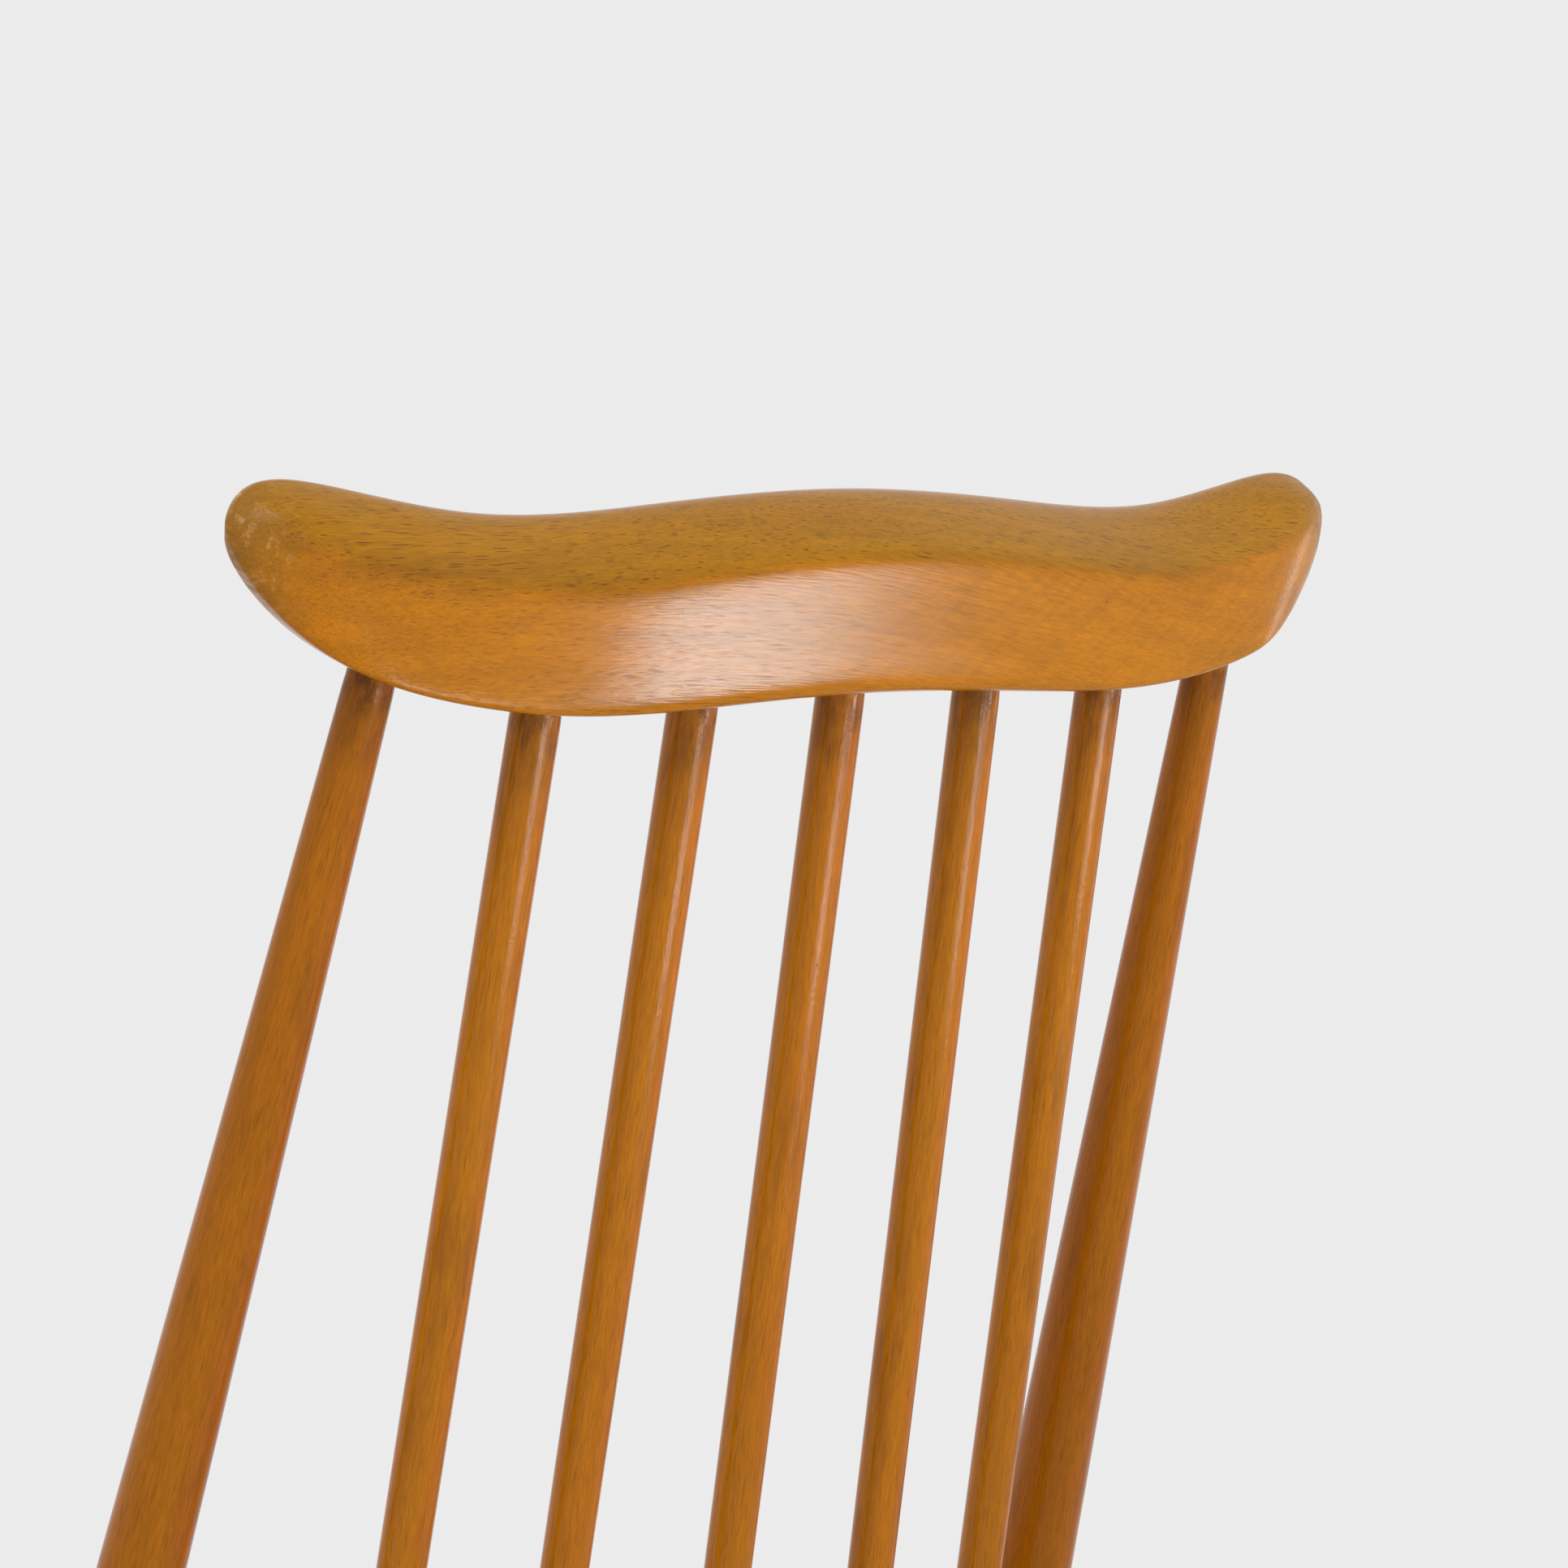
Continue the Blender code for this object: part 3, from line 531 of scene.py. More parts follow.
def stick_socket(name, stick, clearance, crest_end):
    """The bore for one end of a stick, which reaches a little out of the wood."""
    start, end = stick_line(name)
    total = (end - start).length
    profile = stick_profile(name, stick, total)
    radius = profile[-1 if crest_end else 0][1] + clearance
    if crest_end:
        reach = (total - stick.crest_tenon - stick.shoulder, total + clearance)
    else:
        reach = (-clearance, stick.seat_tenon + stick.shoulder)
    return turned([(spot, radius) for spot in reach], start, end)


# Seat
class SeatShape:
    """The saddled plank."""

    def __init__(self, seat):
        self.sizes = seat
        self.centre = (SEAT_LOW.y + SEAT_HIGH.y) / 2
        plan = half_outline(SEAT_PLAN)[::-1]
        x = plan[:, 0] / plan[:, 0].max() * SEAT_HIGH.x
        span = plan[:, 1].max() - plan[:, 1].min()
        y = SEAT_HIGH.y - (plan[:, 1] - plan[:, 1].min()) / span * (SEAT_HIGH.y - SEAT_LOW.y)
        self.angles = np.arctan2(y - self.centre, x)
        self.distances = np.hypot(x, y - self.centre)

    def edge_distance(self, x, y):
        """From the middle of the seat to its edge, in the direction of a point."""
        return float(np.interp(math.atan2(y - self.centre, abs(x)), self.angles, self.distances))

    def top(self, x, y):
        """Height of the saddled top."""
        sizes = self.sizes
        along = (y - SEAT_HIGH.y + sizes.saddle_setback) / (sizes.saddle_length / 2)
        across = x / (sizes.saddle_width / 2)
        hollow = max(0.0, 1 - along ** 2 - across ** 2) ** 1.5
        pommel = math.exp(-(x / (sizes.pommel_width / 2)) ** 2)
        hollow *= 1 - sizes.pommel_share * pommel * min(1.0, max(0.0, -along))
        front = max(0.0, 1 - (y - SEAT_LOW.y) / sizes.fall_length) ** 2
        return SEAT_HIGH.z - sizes.saddle_depth * hollow - sizes.front_fall * front * (1 - pommel)

    def surface(self, mesh):
        """A grid on the saddled top, out to where the rim starts to round. Gives its boundary."""
        bmesh.ops.create_grid(mesh, x_segments=SEAT_CELLS, y_segments=SEAT_CELLS, size=1.0)
        for vert in mesh.verts:
            u, v = vert.co.x, vert.co.y
            x, y = u * math.sqrt(1 - v * v / 2), v * math.sqrt(1 - u * u / 2)
            reach = self.edge_distance(x, self.centre + y) - self.sizes.rim_round
            x, y = x * reach, self.centre + y * reach
            vert.co = (x, y, self.top(x, y))
        return [edge for edge in mesh.edges if edge.is_boundary]

    def edge_point(self, point, inset, height):
        """A point of the seat's edge in the direction of a point, pulled in by inset."""
        angle = math.atan2(point.y - self.centre, point.x)
        reach = self.edge_distance(point.x, point.y) - inset
        return Vector((reach * math.cos(angle), self.centre + reach * math.sin(angle), height))

    def rim_point(self, point, turn):
        """A point of the rounded rim, turn running from its top to its side."""
        sizes = self.sizes
        start = self.edge_point(point, sizes.rim_round, 0.0)
        drop = sizes.rim_round * (1 - math.cos(turn))
        inset = sizes.rim_round * (1 - math.sin(turn))
        return self.edge_point(point, inset, self.top(start.x, start.y) - drop)

    def mesh(self):
        """Saddled top, rounded rim, upright edge, bevel and flat underside."""
        mesh = bmesh.new()
        edges = self.surface(mesh)
        for step in range(1, RIM_STEPS + 1):
            turn = step / RIM_STEPS * math.pi / 2
            edges = extrude_ring(mesh, edges, lambda point: self.rim_point(point, turn))
        for inset, rise in ((0.0, self.sizes.bevel_height), (self.sizes.bevel_width, 0.0)):
            edges = extrude_ring(mesh, edges, lambda point: self.edge_point(point, inset, SEAT_LOW.z + rise))
        return close_ring(mesh, edges)

    def space_above(self):
        """The space over the saddled top, which trims the leg heads and wedges flush."""
        mesh = bmesh.new()
        edges = self.surface(mesh)
        lid = SEAT_HIGH.z + 2 * LEG_TRIM
        return close_ring(mesh, extrude_ring(mesh, edges, lambda point: Vector((point.x, point.y, lid))))


def extrude_ring(mesh, edges, place):
    """Extrude a boundary and move each new point where place says. Gives the new boundary."""
    made = bmesh.ops.extrude_edge_only(mesh, edges=edges)["geom"]
    for vert in (item for item in made if isinstance(item, bmesh.types.BMVert)):
        vert.co = place(vert.co.copy())
    return [item for item in made if isinstance(item, bmesh.types.BMEdge) and item.is_boundary]


def close_ring(mesh, edges):
    """Close the last ring with one flat face and turn every face outward."""
    bmesh.ops.edgeloop_fill(mesh, edges=edges)
    bmesh.ops.recalc_face_normals(mesh, faces=mesh.faces)
    return mesh


# Legs and stretchers
def leg_profile(leg, total):
    """(distance from the floor, radius) of a leg: chamfered foot, swell, neck and tapered tenon."""
    scale = total / SEAT_HIGH.z
    swell = leg.swell_height * scale
    neck = SEAT_LOW.z * scale
    profile = [(0.0, leg.foot / 2 - leg.chamfer), (leg.chamfer, leg.foot / 2)]
    for rise in np.linspace(0.02, 1.0, 22):
        wide = leg.foot + (leg.swell - leg.foot) * math.sin(rise * math.pi / 2)
        profile.append((swell * rise, wide / 2))
    for rise in np.linspace(0.05, 1.0, 20):
        wide = leg.swell - (leg.swell - leg.neck) * (1 - math.cos(rise * math.pi / 2))
        profile.append((swell + (neck - swell) * rise, wide / 2))
    taper = (leg.neck - leg.head) / (total - neck)
    return profile + [(total + LEG_TRIM, (leg.head - taper * LEG_TRIM) / 2)]


def leg_socket(leg, fore, hand):
    """The tapered bore for a leg's head, right through the seat."""
    foot, head = leg_line(fore, hand)
    profile = leg_profile(leg, (head - foot).length)
    return turned([(along, radius + leg.clearance) for along, radius in profile[-3:]], foot, head)


def wedge_block(leg, fore, hand, gap):
    """A tapered block across a leg's head, gap wider than the wedge all round."""
    foot, head = leg_line(fore, hand)
    mesh = bmesh.new()
    bmesh.ops.create_cube(mesh, size=1.0)
    slope = (leg.wedge - leg.wedge_tip) / leg.wedge_depth
    rise = LEG_TRIM * (1.5 if gap else 1.0)
    wide = 2 * leg.neck if gap else leg.head - 2 * leg.wedge_margin
    for vert in mesh.verts:
        upper = vert.co.z > 0
        thick = (leg.wedge + slope * rise if upper else leg.wedge_tip) + 2 * gap
        vert.co = (vert.co.x * wide, vert.co.y * thick, rise if upper else -leg.wedge_depth - gap)
    place = along_axis(foot, head) @ Matrix.Translation((0, 0, (head - foot).length))
    bmesh.ops.transform(mesh, matrix=place, verts=mesh.verts)
    return mesh


def stretcher_depth(leg, name):
    return leg.cross_socket if name == "cross_stretcher" else leg.leg_socket


def stretcher_profile(leg, stick, depth, total):
    """(distance from one end, radius) of a stretcher: tenons, rounded shoulders and a swollen middle."""
    span = total - 2 * depth
    tenon = leg.stretcher_end / 2 - stick.step

    def body(spot):
        swell = (leg.stretcher_swell - leg.stretcher_end) * math.sin(spot / span * math.pi)
        return (leg.stretcher_end + swell) / 2

    return [(0.0, tenon), *shouldered(body, stick, depth, span, 5, 32), (total, tenon)]


def stretcher_socket(leg, stick, name, far_end):
    """The bore for one end of a stretcher, which reaches a little out of the wood."""
    start, end = stretcher_line(name)
    total = (end - start).length
    radius = leg.stretcher_end / 2 - stick.step + leg.clearance
    depth = stretcher_depth(leg, name) + 3 * stick.shoulder
    reach = (total - depth, total + leg.clearance) if far_end else (-leg.clearance, depth)
    return turned([(spot, radius) for spot in reach], start, end)


# Finishes
class Nodes:
    """A node tree, with short ways to add nodes to it."""

    def __init__(self, tree):
        self.tree = tree

    def feed(self, socket, value):
        if isinstance(value, bpy.types.NodeSocket):
            self.tree.links.new(value, socket)
        else:
            socket.default_value = value

    def add(self, kind, inputs, **settings):
        node = self.tree.nodes.new(kind)
        for key, value in settings.items():
            setattr(node, key, value)
        for key, value in inputs.items():
            self.feed(node.inputs[key], value)
        return node

    def math(self, operation, first, second=0.0):
        return self.add("ShaderNodeMath", {0: first, 1: second}, operation=operation).outputs[0]

    def mix(self, factor, first, second, blend="MIX"):
        """Mix two colours."""
        inputs = {0: factor, 6: self.rgba(first), 7: self.rgba(second)}
        return self.add("ShaderNodeMix", inputs, data_type="RGBA", blend_type=blend).outputs[2]

    def blend(self, factor, first, second):
        """Mix two numbers."""
        return self.add("ShaderNodeMix", {0: factor, 2: first, 3: second}, data_type="FLOAT").outputs[0]

    @staticmethod
    def rgba(value):
        return value if isinstance(value, bpy.types.NodeSocket) else (*value, 1.0)

    def times(self, first, second):
        return self.math("MULTIPLY", first, second)

    def vector(self, operation, first, second):
        return self.add("ShaderNodeVectorMath", {0: first, 1: second}, operation=operation).outputs["Vector"]

    def part(self, vector, axis):
        """One axis of a vector."""
        return self.add("ShaderNodeSeparateXYZ", {0: vector}).outputs[axis]

    def coordinates(self):
        return self.add("ShaderNodeTexCoord", {}).outputs["Object"]

    def soft_step(self, value, low, high, start=0.0, end=1.0):
        inputs = {"Value": value, "From Min": low, "From Max": high, "To Min": start, "To Max": end}
        return self.add("ShaderNodeMapRange", inputs, interpolation_type="SMOOTHSTEP").outputs["Result"]


class FinishNodes(Nodes):
    """The nodes of a finish, and the material that they make."""

    def __init__(self, name):
        self.material = bpy.data.materials.new(name)
        self.material.use_nodes = True
        super().__init__(self.material.node_tree)
        self.shader = self.tree.nodes["Principled BSDF"]

    def attribute(self, name):
        return self.add("ShaderNodeAttribute", {}, attribute_name=name).outputs["Fac"]

    def grain(self, place, offset):
        """Object coordinates turned so that Z runs along the grain, offset to a fresh part of the tree."""
        inputs = {"Vector": self.coordinates(), "Location": place.translation, "Rotation": place.to_euler()}
        local = self.add("ShaderNodeMapping", inputs, vector_type="TEXTURE").outputs["Vector"]
        return self.vector("ADD", local, offset)

    def noise(self, vector, scale, detail, roughness):
        inputs = {"Vector": self.vector("MULTIPLY", vector, scale), "Scale": 1.0, "Detail": detail,
                  "Roughness": roughness}
        return self.add("ShaderNodeTexNoise", inputs).outputs["Fac"]

    def flecks(self, vector, scale, size, amount):
        """Short dashes along the grain: small ellipsoids in a stretched field, in some of its cells."""
        inputs = {"Vector": self.vector("MULTIPLY", vector, scale), "Scale": 1.0, "Randomness": 1.0}
        cells = self.add("ShaderNodeTexVoronoi", inputs)
        shape = self.soft_step(cells.outputs["Distance"], size * 0.7, size, 1.0, 0.0)
        chance = self.add("ShaderNodeSeparateColor", {0: cells.outputs["Color"]}).outputs[0]
        return self.times(shape, self.math("LESS_THAN", chance, amount))

    def mark(self, place, radius):
        """A round spot with a soft edge, faint where it is wide."""
        inputs = {0: self.coordinates(), 1: place}
        away = self.add("ShaderNodeVectorMath", inputs, operation="DISTANCE").outputs["Value"]
        return self.soft_step(away, radius * 0.3, radius, min(0.8, 0.0006 / radius), 0.0)

    def bump(self, height, distance):
        inputs = {"Height": height, "Strength": 1.0, "Distance": distance}
        self.feed(self.shader.inputs["Normal"], self.add("ShaderNodeBump", inputs).outputs["Normal"])

    def lacquer(self, base, roughness, gloss):
        """Satin lacquer over the wood."""
        self.feed(self.shader.inputs["Base Color"], base)
        self.feed(self.shader.inputs["Roughness"], roughness)
        self.shader.inputs["Specular IOR Level"].default_value = gloss
        return self.material


def beech(nodes, grain, base, finish, fleck_share):
    """Fine fibre and short dark flecks over a base colour. Gives the colour and a height for the bump."""
    fibre = nodes.noise(grain, (2000, 2000, 100), 2.0, 0.5)
    hair = nodes.noise(grain, (4500, 4500, 220), 2.0, 0.6)
    streak = nodes.noise(grain, (260, 260, 5), 2.0, 0.5)
    shade = nodes.soft_step(fibre, 0.32, 0.72, 1.05, 0.87)
    shade = nodes.times(shade, nodes.soft_step(hair, 0.3, 0.7, 1.08, 0.90))
    shade = nodes.times(shade, nodes.soft_step(streak, 0.3, 0.7, 1.05, 0.93))
    grey = nodes.add("ShaderNodeCombineColor", {0: shade, 1: shade, 2: shade}).outputs[0]
    tinted = nodes.mix(1.0, base, grey, "MULTIPLY")
    bold = nodes.flecks(grain, (2900, 2900, 140), 0.47, 0.14)
    faint = nodes.flecks(grain, (3800, 3800, 240), 0.46, 0.26)
    flecks = nodes.math("MAXIMUM", bold, nodes.times(faint, 0.45))
    tinted = nodes.mix(nodes.times(flecks, fleck_share), tinted, finish.fleck)
    height = nodes.math("ADD", fibre, nodes.times(hair, 0.15))
    return tinted, nodes.math("SUBTRACT", height, nodes.times(flecks, 0.15))


def dirty(nodes, grain, base, finish, node):
    """Smudges of grime at the joints and the small old marks, over a base colour."""
    smudge = nodes.noise(grain, (190, 190, 90), 4.0, 0.65)
    smear = nodes.times(nodes.attribute("grime"), nodes.soft_step(smudge, 0.38, 0.62, 0.2, 1.0))
    base = nodes.mix(smear, base, finish.grime)
    for place, radius in MARKS.get(node, ()):
        base = nodes.mix(nodes.mark(place, radius), base, finish.grime)
    return base


def crest_finish(finish):
    """Beech painted olive above the crease and orange below as two tints of light, and handled brown along
    it.
    """
    nodes = FinishNodes("crest_beech_lacquer")
    grain = crest_grain(nodes)
    blotch = nodes.noise(grain, (45, 45, 9), 3.0, 0.55)
    edge = nodes.noise(grain, (300, 300, 40), 3.0, 0.6)
    above = nodes.math("ADD", nodes.attribute("above_crease"), nodes.times(edge, 0.004))
    # Painted light: olive above the crease stands for cool light from above, orange below it for warm light
    painted_top_light = nodes.soft_step(above, 0.0, 0.004)
    base = nodes.mix(painted_top_light, finish.crest_rear_warm_lit, finish.crest_top_cool_lit)
    held = nodes.times(nodes.attribute("handling"), nodes.soft_step(edge, 0.3, 0.7, 0.5, 1.0))
    base = nodes.mix(held, base, finish.crest_held)
    end_grain = nodes.attribute("end_grain")
    worn = nodes.noise(grain, (260, 120, 420), 4.0, 0.65)
    brown = nodes.times(end_grain, nodes.soft_step(worn, 0.36, 0.60, 0.25, 0.95))
    base = nodes.mix(brown, base, finish.crest_end)
    # Painted highlight, with real wear: pale patches at the tips stand for scuffs and for glints of light on
    # them
    pale = nodes.times(end_grain, nodes.soft_step(worn, 0.34, 0.46, 0.45, 0.0))
    base = nodes.mix(pale, base, finish.crest_wear_and_highlight)
    shade = nodes.soft_step(nodes.noise(grain, (90, 90, 14), 4.0, 0.6), 0.4, 0.75, 0.0, 0.30)
    base = nodes.mix(shade, base, finish.crest_held)
    left = nodes.soft_step(nodes.part(grain, "Z"), 0.14, 0.28)
    base = nodes.mix(crest_figure(nodes, left, painted_top_light), base, finish.crest_held)
    plain = nodes.soft_step(left, 0.0, 1.0, 0.08, 0.45)
    fleck_share = nodes.math("ADD", nodes.blend(painted_top_light, plain, 0.80), nodes.times(held, 0.4))
    fleck_share = nodes.blend(end_grain, fleck_share, 0.1)
    base, height = beech(nodes, grain, base, finish, fleck_share)
    base = dirty(nodes, grain, base, finish, "crest_rail")
    dents = nodes.times(end_grain, nodes.noise(grain, (420, 420, 420), 3.0, 0.6))
    nodes.bump(nodes.math("ADD", height, nodes.times(dents, 3.0)), 0.00006)
    roughness = nodes.soft_step(blotch, 0.3, 0.7, finish.roughness - 0.02, finish.roughness + 0.03)
    scuffed = nodes.times(end_grain, nodes.soft_step(worn, 0.36, 0.60, 0.05, 0.30))
    scuffed = nodes.math("MAXIMUM", scuffed, nodes.times(held, 0.10))
    return nodes.lacquer(base, nodes.math("ADD", roughness, scuffed), finish.gloss)


def crest_grain(nodes):
    """Grain along the crest that wanders: it falls most towards the right of the middle."""
    grain = nodes.grain(Matrix.Rotation(math.pi / 2, 4, "Y"), (0.37, 0.11, 0.2))
    along = nodes.part(grain, "Z")
    wave = math.tau / 0.34
    turn = nodes.times(nodes.math("SUBTRACT", along, 0.14), wave)
    drift = nodes.math("ADD", along, nodes.math("DIVIDE", nodes.math("SINE", turn), wave))
    shift = nodes.add("ShaderNodeCombineXYZ", {"X": nodes.times(drift, 0.115)}).outputs["Vector"]
    return nodes.vector("ADD", grain, shift)


def crest_figure(nodes, left, painted_top_light):
    """Faint slanting bands on the right of the crest's rear face."""
    slanted = nodes.grain(Matrix.Rotation(math.radians(-55.0), 4, "Y"), (0.0, 0.0, 0.0))
    bands = nodes.soft_step(nodes.noise(slanted, (420, 420, 20), 1.0, 0.4), 0.42, 0.62, 0.0, 0.15)
    shown = nodes.math("MAXIMUM", left, painted_top_light)
    return nodes.times(bands, nodes.math("SUBTRACT", 1.0, shown))


def turned_finish(name, finish, line, offset, colours, gloss):
    """Beech on a turned piece: grain along its line, sides in two painted tints of light, stains and dirty
    joints.
    """
    light, dark = colours
    nodes = FinishNodes(name + "_lacquer")
    place = along_axis(*line)
    grain = nodes.grain(place, offset)
    tone = nodes.noise(grain, (110, 110, 6), 3.0, 0.55)
    # Painted light: one side of the piece takes the first colour and the far side the second, as two tints of
    # light
    across = nodes.part(nodes.grain(place, (0.0, 0.0, 0.0)), "X")
    side_shade = nodes.math("SUBTRACT", nodes.times(tone, 0.012), across)
    base = nodes.mix(nodes.soft_step(side_shade, 0.0, 0.010), light, dark)
    patch = nodes.noise(grain, (130, 130, 20), 3.0, 0.6)
    base = nodes.mix(nodes.soft_step(patch, 0.50, 0.74, 0.0, 0.42), base, finish.stick_stain)
    base, height = beech(nodes, grain, base, finish, 0.38)
    base = dirty(nodes, grain, base, finish, name)
    peel = nodes.noise(grain, (1500, 1500, 700), 1.0, 0.5)
    nodes.bump(nodes.math("ADD", height, peel), 0.00004)
    roughness = nodes.soft_step(patch, 0.3, 0.7, finish.roughness - 0.02, finish.roughness + 0.06)
    return nodes.lacquer(base, roughness, gloss)


def elm_finish(finish):
    """Flat-sawn elm: arched rings with open pores in the dark wood, grain from front to back."""
    nodes = FinishNodes("seat_elm_lacquer")
    tilt = Matrix.Rotation(math.radians(-81.0), 4, "X")
    grain = nodes.grain(Matrix.Translation((0.02, 0.05, 0.30)) @ tilt, (0.0, 0.0, 0.0))
    inputs = {"Vector": grain, "Scale": 36.0, "Distortion": 3.0, "Detail": 2.0, "Detail Scale": 0.7,
              "Detail Roughness": 0.5}
    rings = nodes.add("ShaderNodeTexWave", inputs, wave_type="RINGS", rings_direction="Z",
                      wave_profile="SAW").outputs["Fac"]
    late = nodes.soft_step(rings, 0.30, 1.0)
    fibre = nodes.noise(grain, (900, 900, 16), 3.0, 0.6)
    broad = nodes.soft_step(nodes.noise(grain, (28, 28, 5), 2.0, 0.5), 0.35, 0.65, 0.30, 0.65)
    base = nodes.mix(nodes.times(late, broad), finish.elm_pale, finish.elm_dark)
    base = nodes.mix(nodes.soft_step(fibre, 0.45, 0.75, 0.0, 0.35), base, finish.elm_dark)
    pores = nodes.flecks(grain, (900, 900, 150), 0.36, 0.5)
    pores = nodes.times(pores, nodes.soft_step(late, 0.2, 0.8, 0.15, 0.7))
    base = nodes.mix(pores, base, finish.fleck)
    base = nodes.mix(nodes.attribute("grime"), base, finish.grime)
    nodes.bump(nodes.math("SUBTRACT", nodes.times(fibre, 0.5), pores), 0.00008)
    roughness = nodes.soft_step(fibre, 0.3, 0.7, finish.roughness, finish.roughness + 0.08)
    return nodes.lacquer(base, roughness, finish.gloss)


def wear_finish(piece, material):
    piece.data.materials.clear()
    piece.data.materials.append(material)


def grime_near(spots, reach):
    """A function of a point: 1 at any of the spots, fading over reach."""
    return lambda point: max(math.exp(-(((point - spot).length / reach) ** 2)) for spot in spots)


def joint_grime(lines, heights, reach):
    """A function of a point: 1 at the given height on any of the lines, fading over reach."""
    return grime_near([point_at_height(line, height) for line, height in zip(lines, heights)], reach)


# Operators
class WINDSOR_OT_crest_rail(Operator):
    """Carve the crest rail and bore the sockets of the sticks"""
    bl_idname = "windsor.crest_rail"
    bl_label = "Crest rail"

    def execute(self, context):
        chair = context.scene.windsor_chair
        shape = CrestShape(chair.crest)
        bores = [stick_socket(name, chair.stick, chair.leg.clearance, True) for name in STICKS]
        piece = finish_piece("crest_rail", shape.mesh(), bores)
        half = chair.crest.length / 2
        lines = [stick_line(name) for name in STICKS]
        heights = [shape.low(line[1].x) for line in lines]
        paint(piece, "above_crease", lambda point: point.z - shape.crease_height(point.x))
        paint(piece, "handling", shape.handling)
        far, near = END_GRAIN
        paint(piece, "end_grain", lambda point: smooth(abs(point.x), half - far, half - near))
        paint(piece, "grime", joint_grime(lines, heights, CREST_GRIME))
        wear_finish(piece, crest_finish(chair.finish))
        return {"FINISHED"}


class WINDSOR_OT_sticks(Operator):
    """Turn the five spindles and the two back posts"""
    bl_idname = "windsor.sticks"
    bl_label = "Sticks"

    def execute(self, context):
        chair = context.scene.windsor_chair
        crest = CrestShape(chair.crest)
        finish = chair.finish
        for number, name in enumerate(STICKS):
            line = start, end = stick_line(name)
            profile = stick_profile(name, chair.stick, (end - start).length)
            piece = finish_piece(name, turned(profile, start, end))
            ends = [crest.low(end.x), SEAT_HIGH.z]
            offset = (0.13 * number, 0.29 * number, 0.71 * number)
            colours, gloss, reach = (finish.stick_cool_lit, finish.stick_warm_lit), finish.gloss, SPINDLE_GRIME
            if name.startswith("back_post"):
                colours, gloss, reach = (finish.post_cool_lit, finish.post_warm_lit), finish.post_gloss, POST_GRIME
            paint(piece, "grime", joint_grime([line, line], ends, reach))
            wear_finish(piece, turned_finish(name, finish, line, offset, colours, gloss))
        return {"FINISHED"}


class WINDSOR_OT_seat(Operator):
    """Shape the saddled seat and bore its sockets"""
    bl_idname = "windsor.seat"
    bl_label = "Seat"

    def execute(self, context):
        chair = context.scene.windsor_chair
        bores = [stick_socket(name, chair.stick, chair.leg.clearance, False) for name in STICKS]
        bores += [leg_socket(chair.leg, fore, hand) for fore, hand in LEGS]
        piece = finish_piece("seat", SeatShape(chair.seat).mesh(), bores)
        lines = [stick_line(name) for name in STICKS]
        lines += [leg_line(fore, hand) for fore, hand in LEGS]
        paint(piece, "grime", joint_grime(lines, [SEAT_HIGH.z] * len(lines), SEAT_GRIME))
        wear_finish(piece, elm_finish(chair.finish))
        return {"FINISHED"}


class WINDSOR_OT_legs(Operator):
    """Turn the four legs, trim their heads flush with the seat and saw the kerfs for the wedges"""
    bl_idname = "windsor.legs"
    bl_label = "Legs"

    def execute(self, context):
        chair = context.scene.windsor_chair
        leg, stick, finish = chair.leg, chair.stick, chair.finish
        seat = SeatShape(chair.seat)
        for number, (fore, hand) in enumerate(LEGS):
            line = foot, head = leg_line(fore, hand)
            profile = leg_profile(leg, (head - foot).length)
            cuts = [seat.space_above(), wedge_block(leg, fore, hand, leg.clearance),
                    stretcher_socket(leg, stick, f"side_stretcher_{hand}", fore == "rear")]
            name = f"leg_{fore}_{hand}"
            piece = finish_piece(name, level_foot(turned(profile, foot, head)), cuts)
            paint(piece, "grime", joint_grime([line, line], [SEAT_HIGH.z, SEAT_LOW.z], LEG_GRIME))
            offset = (0.23 * number + 0.5, 0.17 * number, 0.83 * number)
            colours = finish.leg_lit_side, finish.leg_shaded_side
            wear_finish(piece, turned_finish(name, finish, line, offset, colours, finish.gloss))
        return {"FINISHED"}


def level_foot(mesh):
    """Lay the end of a raked leg flat on the floor."""
    bmesh.ops.bisect_plane(mesh, geom=[*mesh.verts, *mesh.edges, *mesh.faces], plane_co=(0, 0, 0),
                           plane_no=(0, 0, -1), clear_outer=True)
    rim = [edge for edge in mesh.edges if edge.is_boundary]
    bmesh.ops.edgeloop_fill(mesh, edges=rim)
    bmesh.ops.recalc_face_normals(mesh, faces=mesh.faces)
    return mesh


class WINDSOR_OT_wedges(Operator):
    """Drive a wedge into the head of each leg and trim it flush"""
    bl_idname = "windsor.wedges"
    bl_label = "Wedges"

    def execute(self, context):
        chair = context.scene.windsor_chair
        finish = chair.finish
        seat = SeatShape(chair.seat)
        for number, (fore, hand) in enumerate(LEGS):
            name = f"wedge_{fore}_{hand}"
            piece = finish_piece(name, wedge_block(chair.leg, fore, hand, 0.0), [seat.space_above()])
            paint(piece, "grime", lambda point: 0.0)
            offset = (0.41 * number, 0.9, 0.3)
            colours = finish.wedge, finish.wedge
            line = leg_line(fore, hand)
            wear_finish(piece, turned_finish(name, finish, line, offset, colours, finish.gloss))
        return {"FINISHED"}


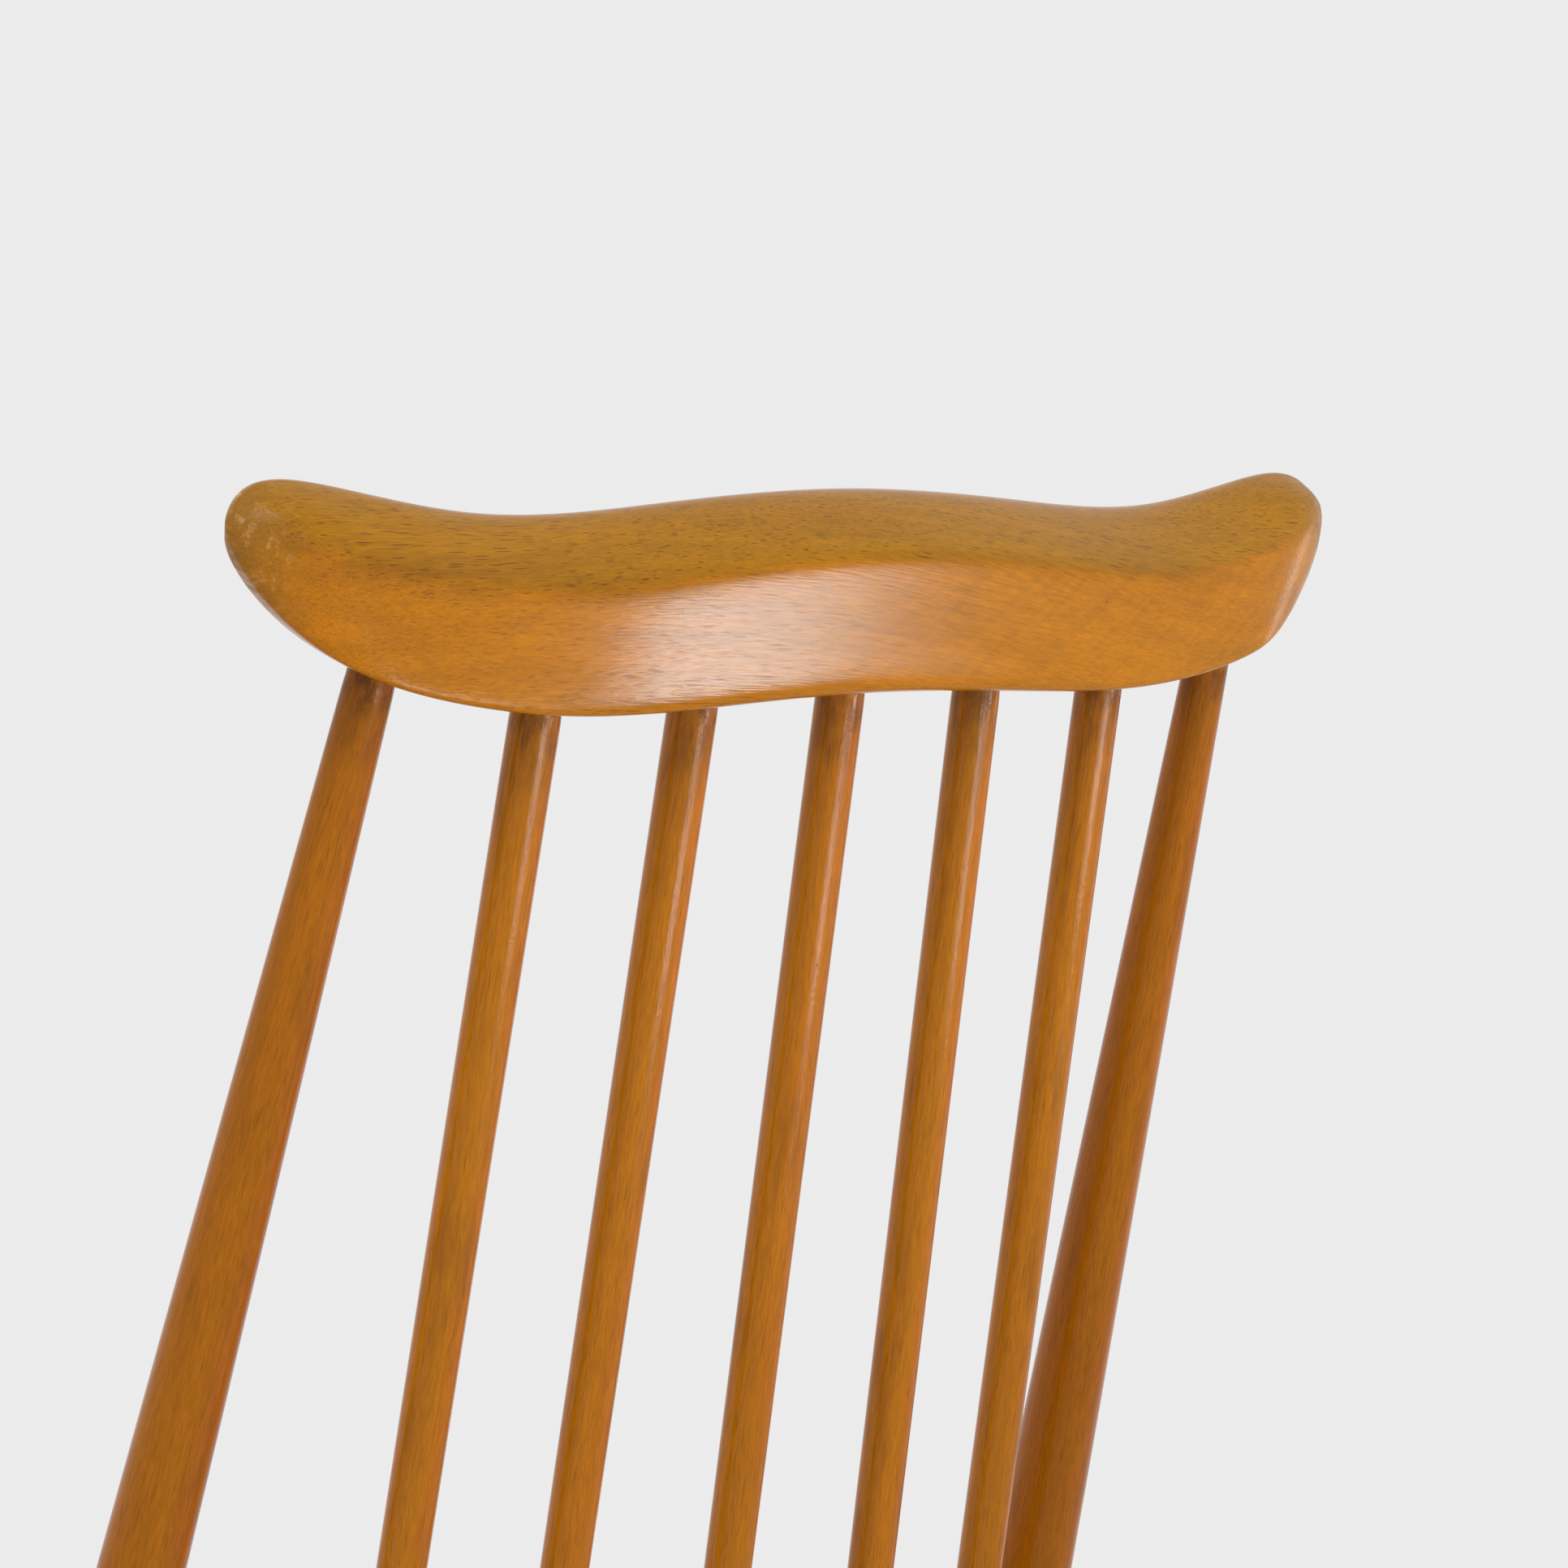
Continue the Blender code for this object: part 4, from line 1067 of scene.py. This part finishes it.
class WINDSOR_OT_stretchers(Operator):
    """Turn the two side stretchers and the cross stretcher"""
    bl_idname = "windsor.stretchers"
    bl_label = "Stretchers"

    def execute(self, context):
        chair = context.scene.windsor_chair
        leg, stick, finish = chair.leg, chair.stick, chair.finish
        for number, name in enumerate(STRETCHERS):
            line = start, end = stretcher_line(name)
            depth = stretcher_depth(leg, name)
            profile = stretcher_profile(leg, stick, depth, (end - start).length)
            cuts = []
            if name != "cross_stretcher":
                cuts.append(stretcher_socket(leg, stick, "cross_stretcher", start.x > 0))
            piece = finish_piece(name, turned(profile, start, end), cuts)
            axis = (end - start).normalized()
            paint(piece, "grime", grime_near((start + axis * depth, end - axis * depth), STRETCHER_GRIME))
            offset = (0.31 * number + 0.2, 0.19 * number, 0.57 * number + 1.4)
            colours = finish.leg_lit_side, finish.leg_shaded_side
            wear_finish(piece, turned_finish(name, finish, line, offset, colours, finish.gloss))
        return {"FINISHED"}


class WINDSOR_OT_studio(Operator):
    """Lay the floor, hang the lights and place the camera"""
    bl_idname = "windsor.studio"
    bl_label = "Studio"

    def execute(self, context):
        scene = context.scene
        studio = scene.windsor_chair.studio
        scene.view_settings.view_transform = "Standard"
        scene.world = backdrop(studio)
        pale_floor(studio)
        crest = Vector((0.0, CREST_LOW.y, CREST_LOW.z))
        above = crest + Vector((0.0, 0.0, GRID_AIM))
        for name, (place, size) in SOFTBOXES.items():
            gridded = name in GRIDDED
            light = softbox(name, place, above if gridded else crest, size, getattr(studio, name))
            if gridded:
                light.spread = studio.grid
            if name == "window":
                light.color = studio.daylight
        camera = bpy.data.cameras.new("camera")
        camera.lens = studio.lens
        camera.sensor_width = SENSOR_WIDTH
        view = bpy.data.objects.new("camera", camera)
        scene.collection.objects.link(view)
        heading = Vector((math.sin(studio.yaw) * math.cos(studio.pitch),
                          math.cos(studio.yaw) * math.cos(studio.pitch), math.sin(studio.pitch)))
        view.location = studio.camera
        view.rotation_euler = heading.to_track_quat("-Z", "Y").to_euler()
        scene.camera = view
        return {"FINISHED"}


def backdrop(studio):
    """A plain backdrop, which reflections show too, and soft light from all around."""
    world = bpy.data.worlds.new("studio")
    world.use_nodes = True
    nodes = Nodes(world.node_tree)
    path = nodes.add("ShaderNodeLightPath", {}).outputs
    seen = nodes.math("MAXIMUM", path["Is Camera Ray"], path["Is Glossy Ray"])
    seen = nodes.math("MAXIMUM", seen, path["Is Transmission Ray"])
    light = world.node_tree.nodes["Background"]
    light.inputs["Color"].default_value = (*studio.background, 1.0)
    nodes.feed(light.inputs["Strength"], nodes.blend(seen, studio.ambient, 1.0))
    return world


def pale_floor(studio):
    """A round floor that fades into the backdrop."""
    mesh = bmesh.new()
    bmesh.ops.create_circle(mesh, cap_ends=True, radius=FLOOR_RADIUS, segments=96)
    floor = new_object("floor", mesh)
    nodes = FinishNodes("pale_floor")
    inputs = {0: nodes.coordinates()}
    reach = nodes.add("ShaderNodeVectorMath", inputs, operation="LENGTH").outputs["Value"]
    nodes.feed(nodes.shader.inputs["Alpha"], nodes.soft_step(reach, *FLOOR_FADE, 1.0, 0.0))
    nodes.shader.inputs["Base Color"].default_value = (*studio.floor, 1.0)
    nodes.shader.inputs["Roughness"].default_value = 0.9
    nodes.shader.inputs["Specular IOR Level"].default_value = 0.1
    floor.data.materials.append(nodes.material)


def softbox(name, place, target, size, power):
    """A soft rectangular light aimed at a point."""
    light = bpy.data.lights.new(name, "AREA")
    light.shape = "RECTANGLE"
    light.size, light.size_y = size
    light.energy = power
    box = bpy.data.objects.new(name, light)
    bpy.context.scene.collection.objects.link(box)
    box.location = place
    box.rotation_euler = (target - Vector(place)).to_track_quat("-Z", "Y").to_euler()
    return light


OPERATORS = (WINDSOR_OT_crest_rail, WINDSOR_OT_sticks, WINDSOR_OT_seat, WINDSOR_OT_legs, WINDSOR_OT_wedges,
             WINDSOR_OT_stretchers, WINDSOR_OT_studio)


class WINDSOR_PT_chair(Panel):
    """The chair's pieces and its studio"""
    bl_label = "Windsor chair"
    bl_idname = "WINDSOR_PT_chair"
    bl_space_type = "VIEW_3D"
    bl_region_type = "UI"
    bl_category = "Windsor chair"

    def draw(self, context):
        for operator in OPERATORS:
            self.layout.operator(operator.bl_idname)


CLASSES = (CrestSizes, StickSizes, SeatSizes, LegSizes, Finishes, StudioSettings, WindsorChair, *OPERATORS,
           WINDSOR_PT_chair)


def register():
    for item in CLASSES:
        bpy.utils.register_class(item)
    bpy.types.Scene.windsor_chair = PointerProperty(type=WindsorChair)


def unregister():
    del bpy.types.Scene.windsor_chair
    for item in reversed(CLASSES):
        bpy.utils.unregister_class(item)


def main():
    register()
    bpy.ops.windsor.crest_rail()
    bpy.ops.windsor.sticks()
    bpy.ops.windsor.seat()
    bpy.ops.windsor.legs()
    bpy.ops.windsor.wedges()
    bpy.ops.windsor.stretchers()
    bpy.ops.windsor.studio()


if __name__ == "__main__":
    main()
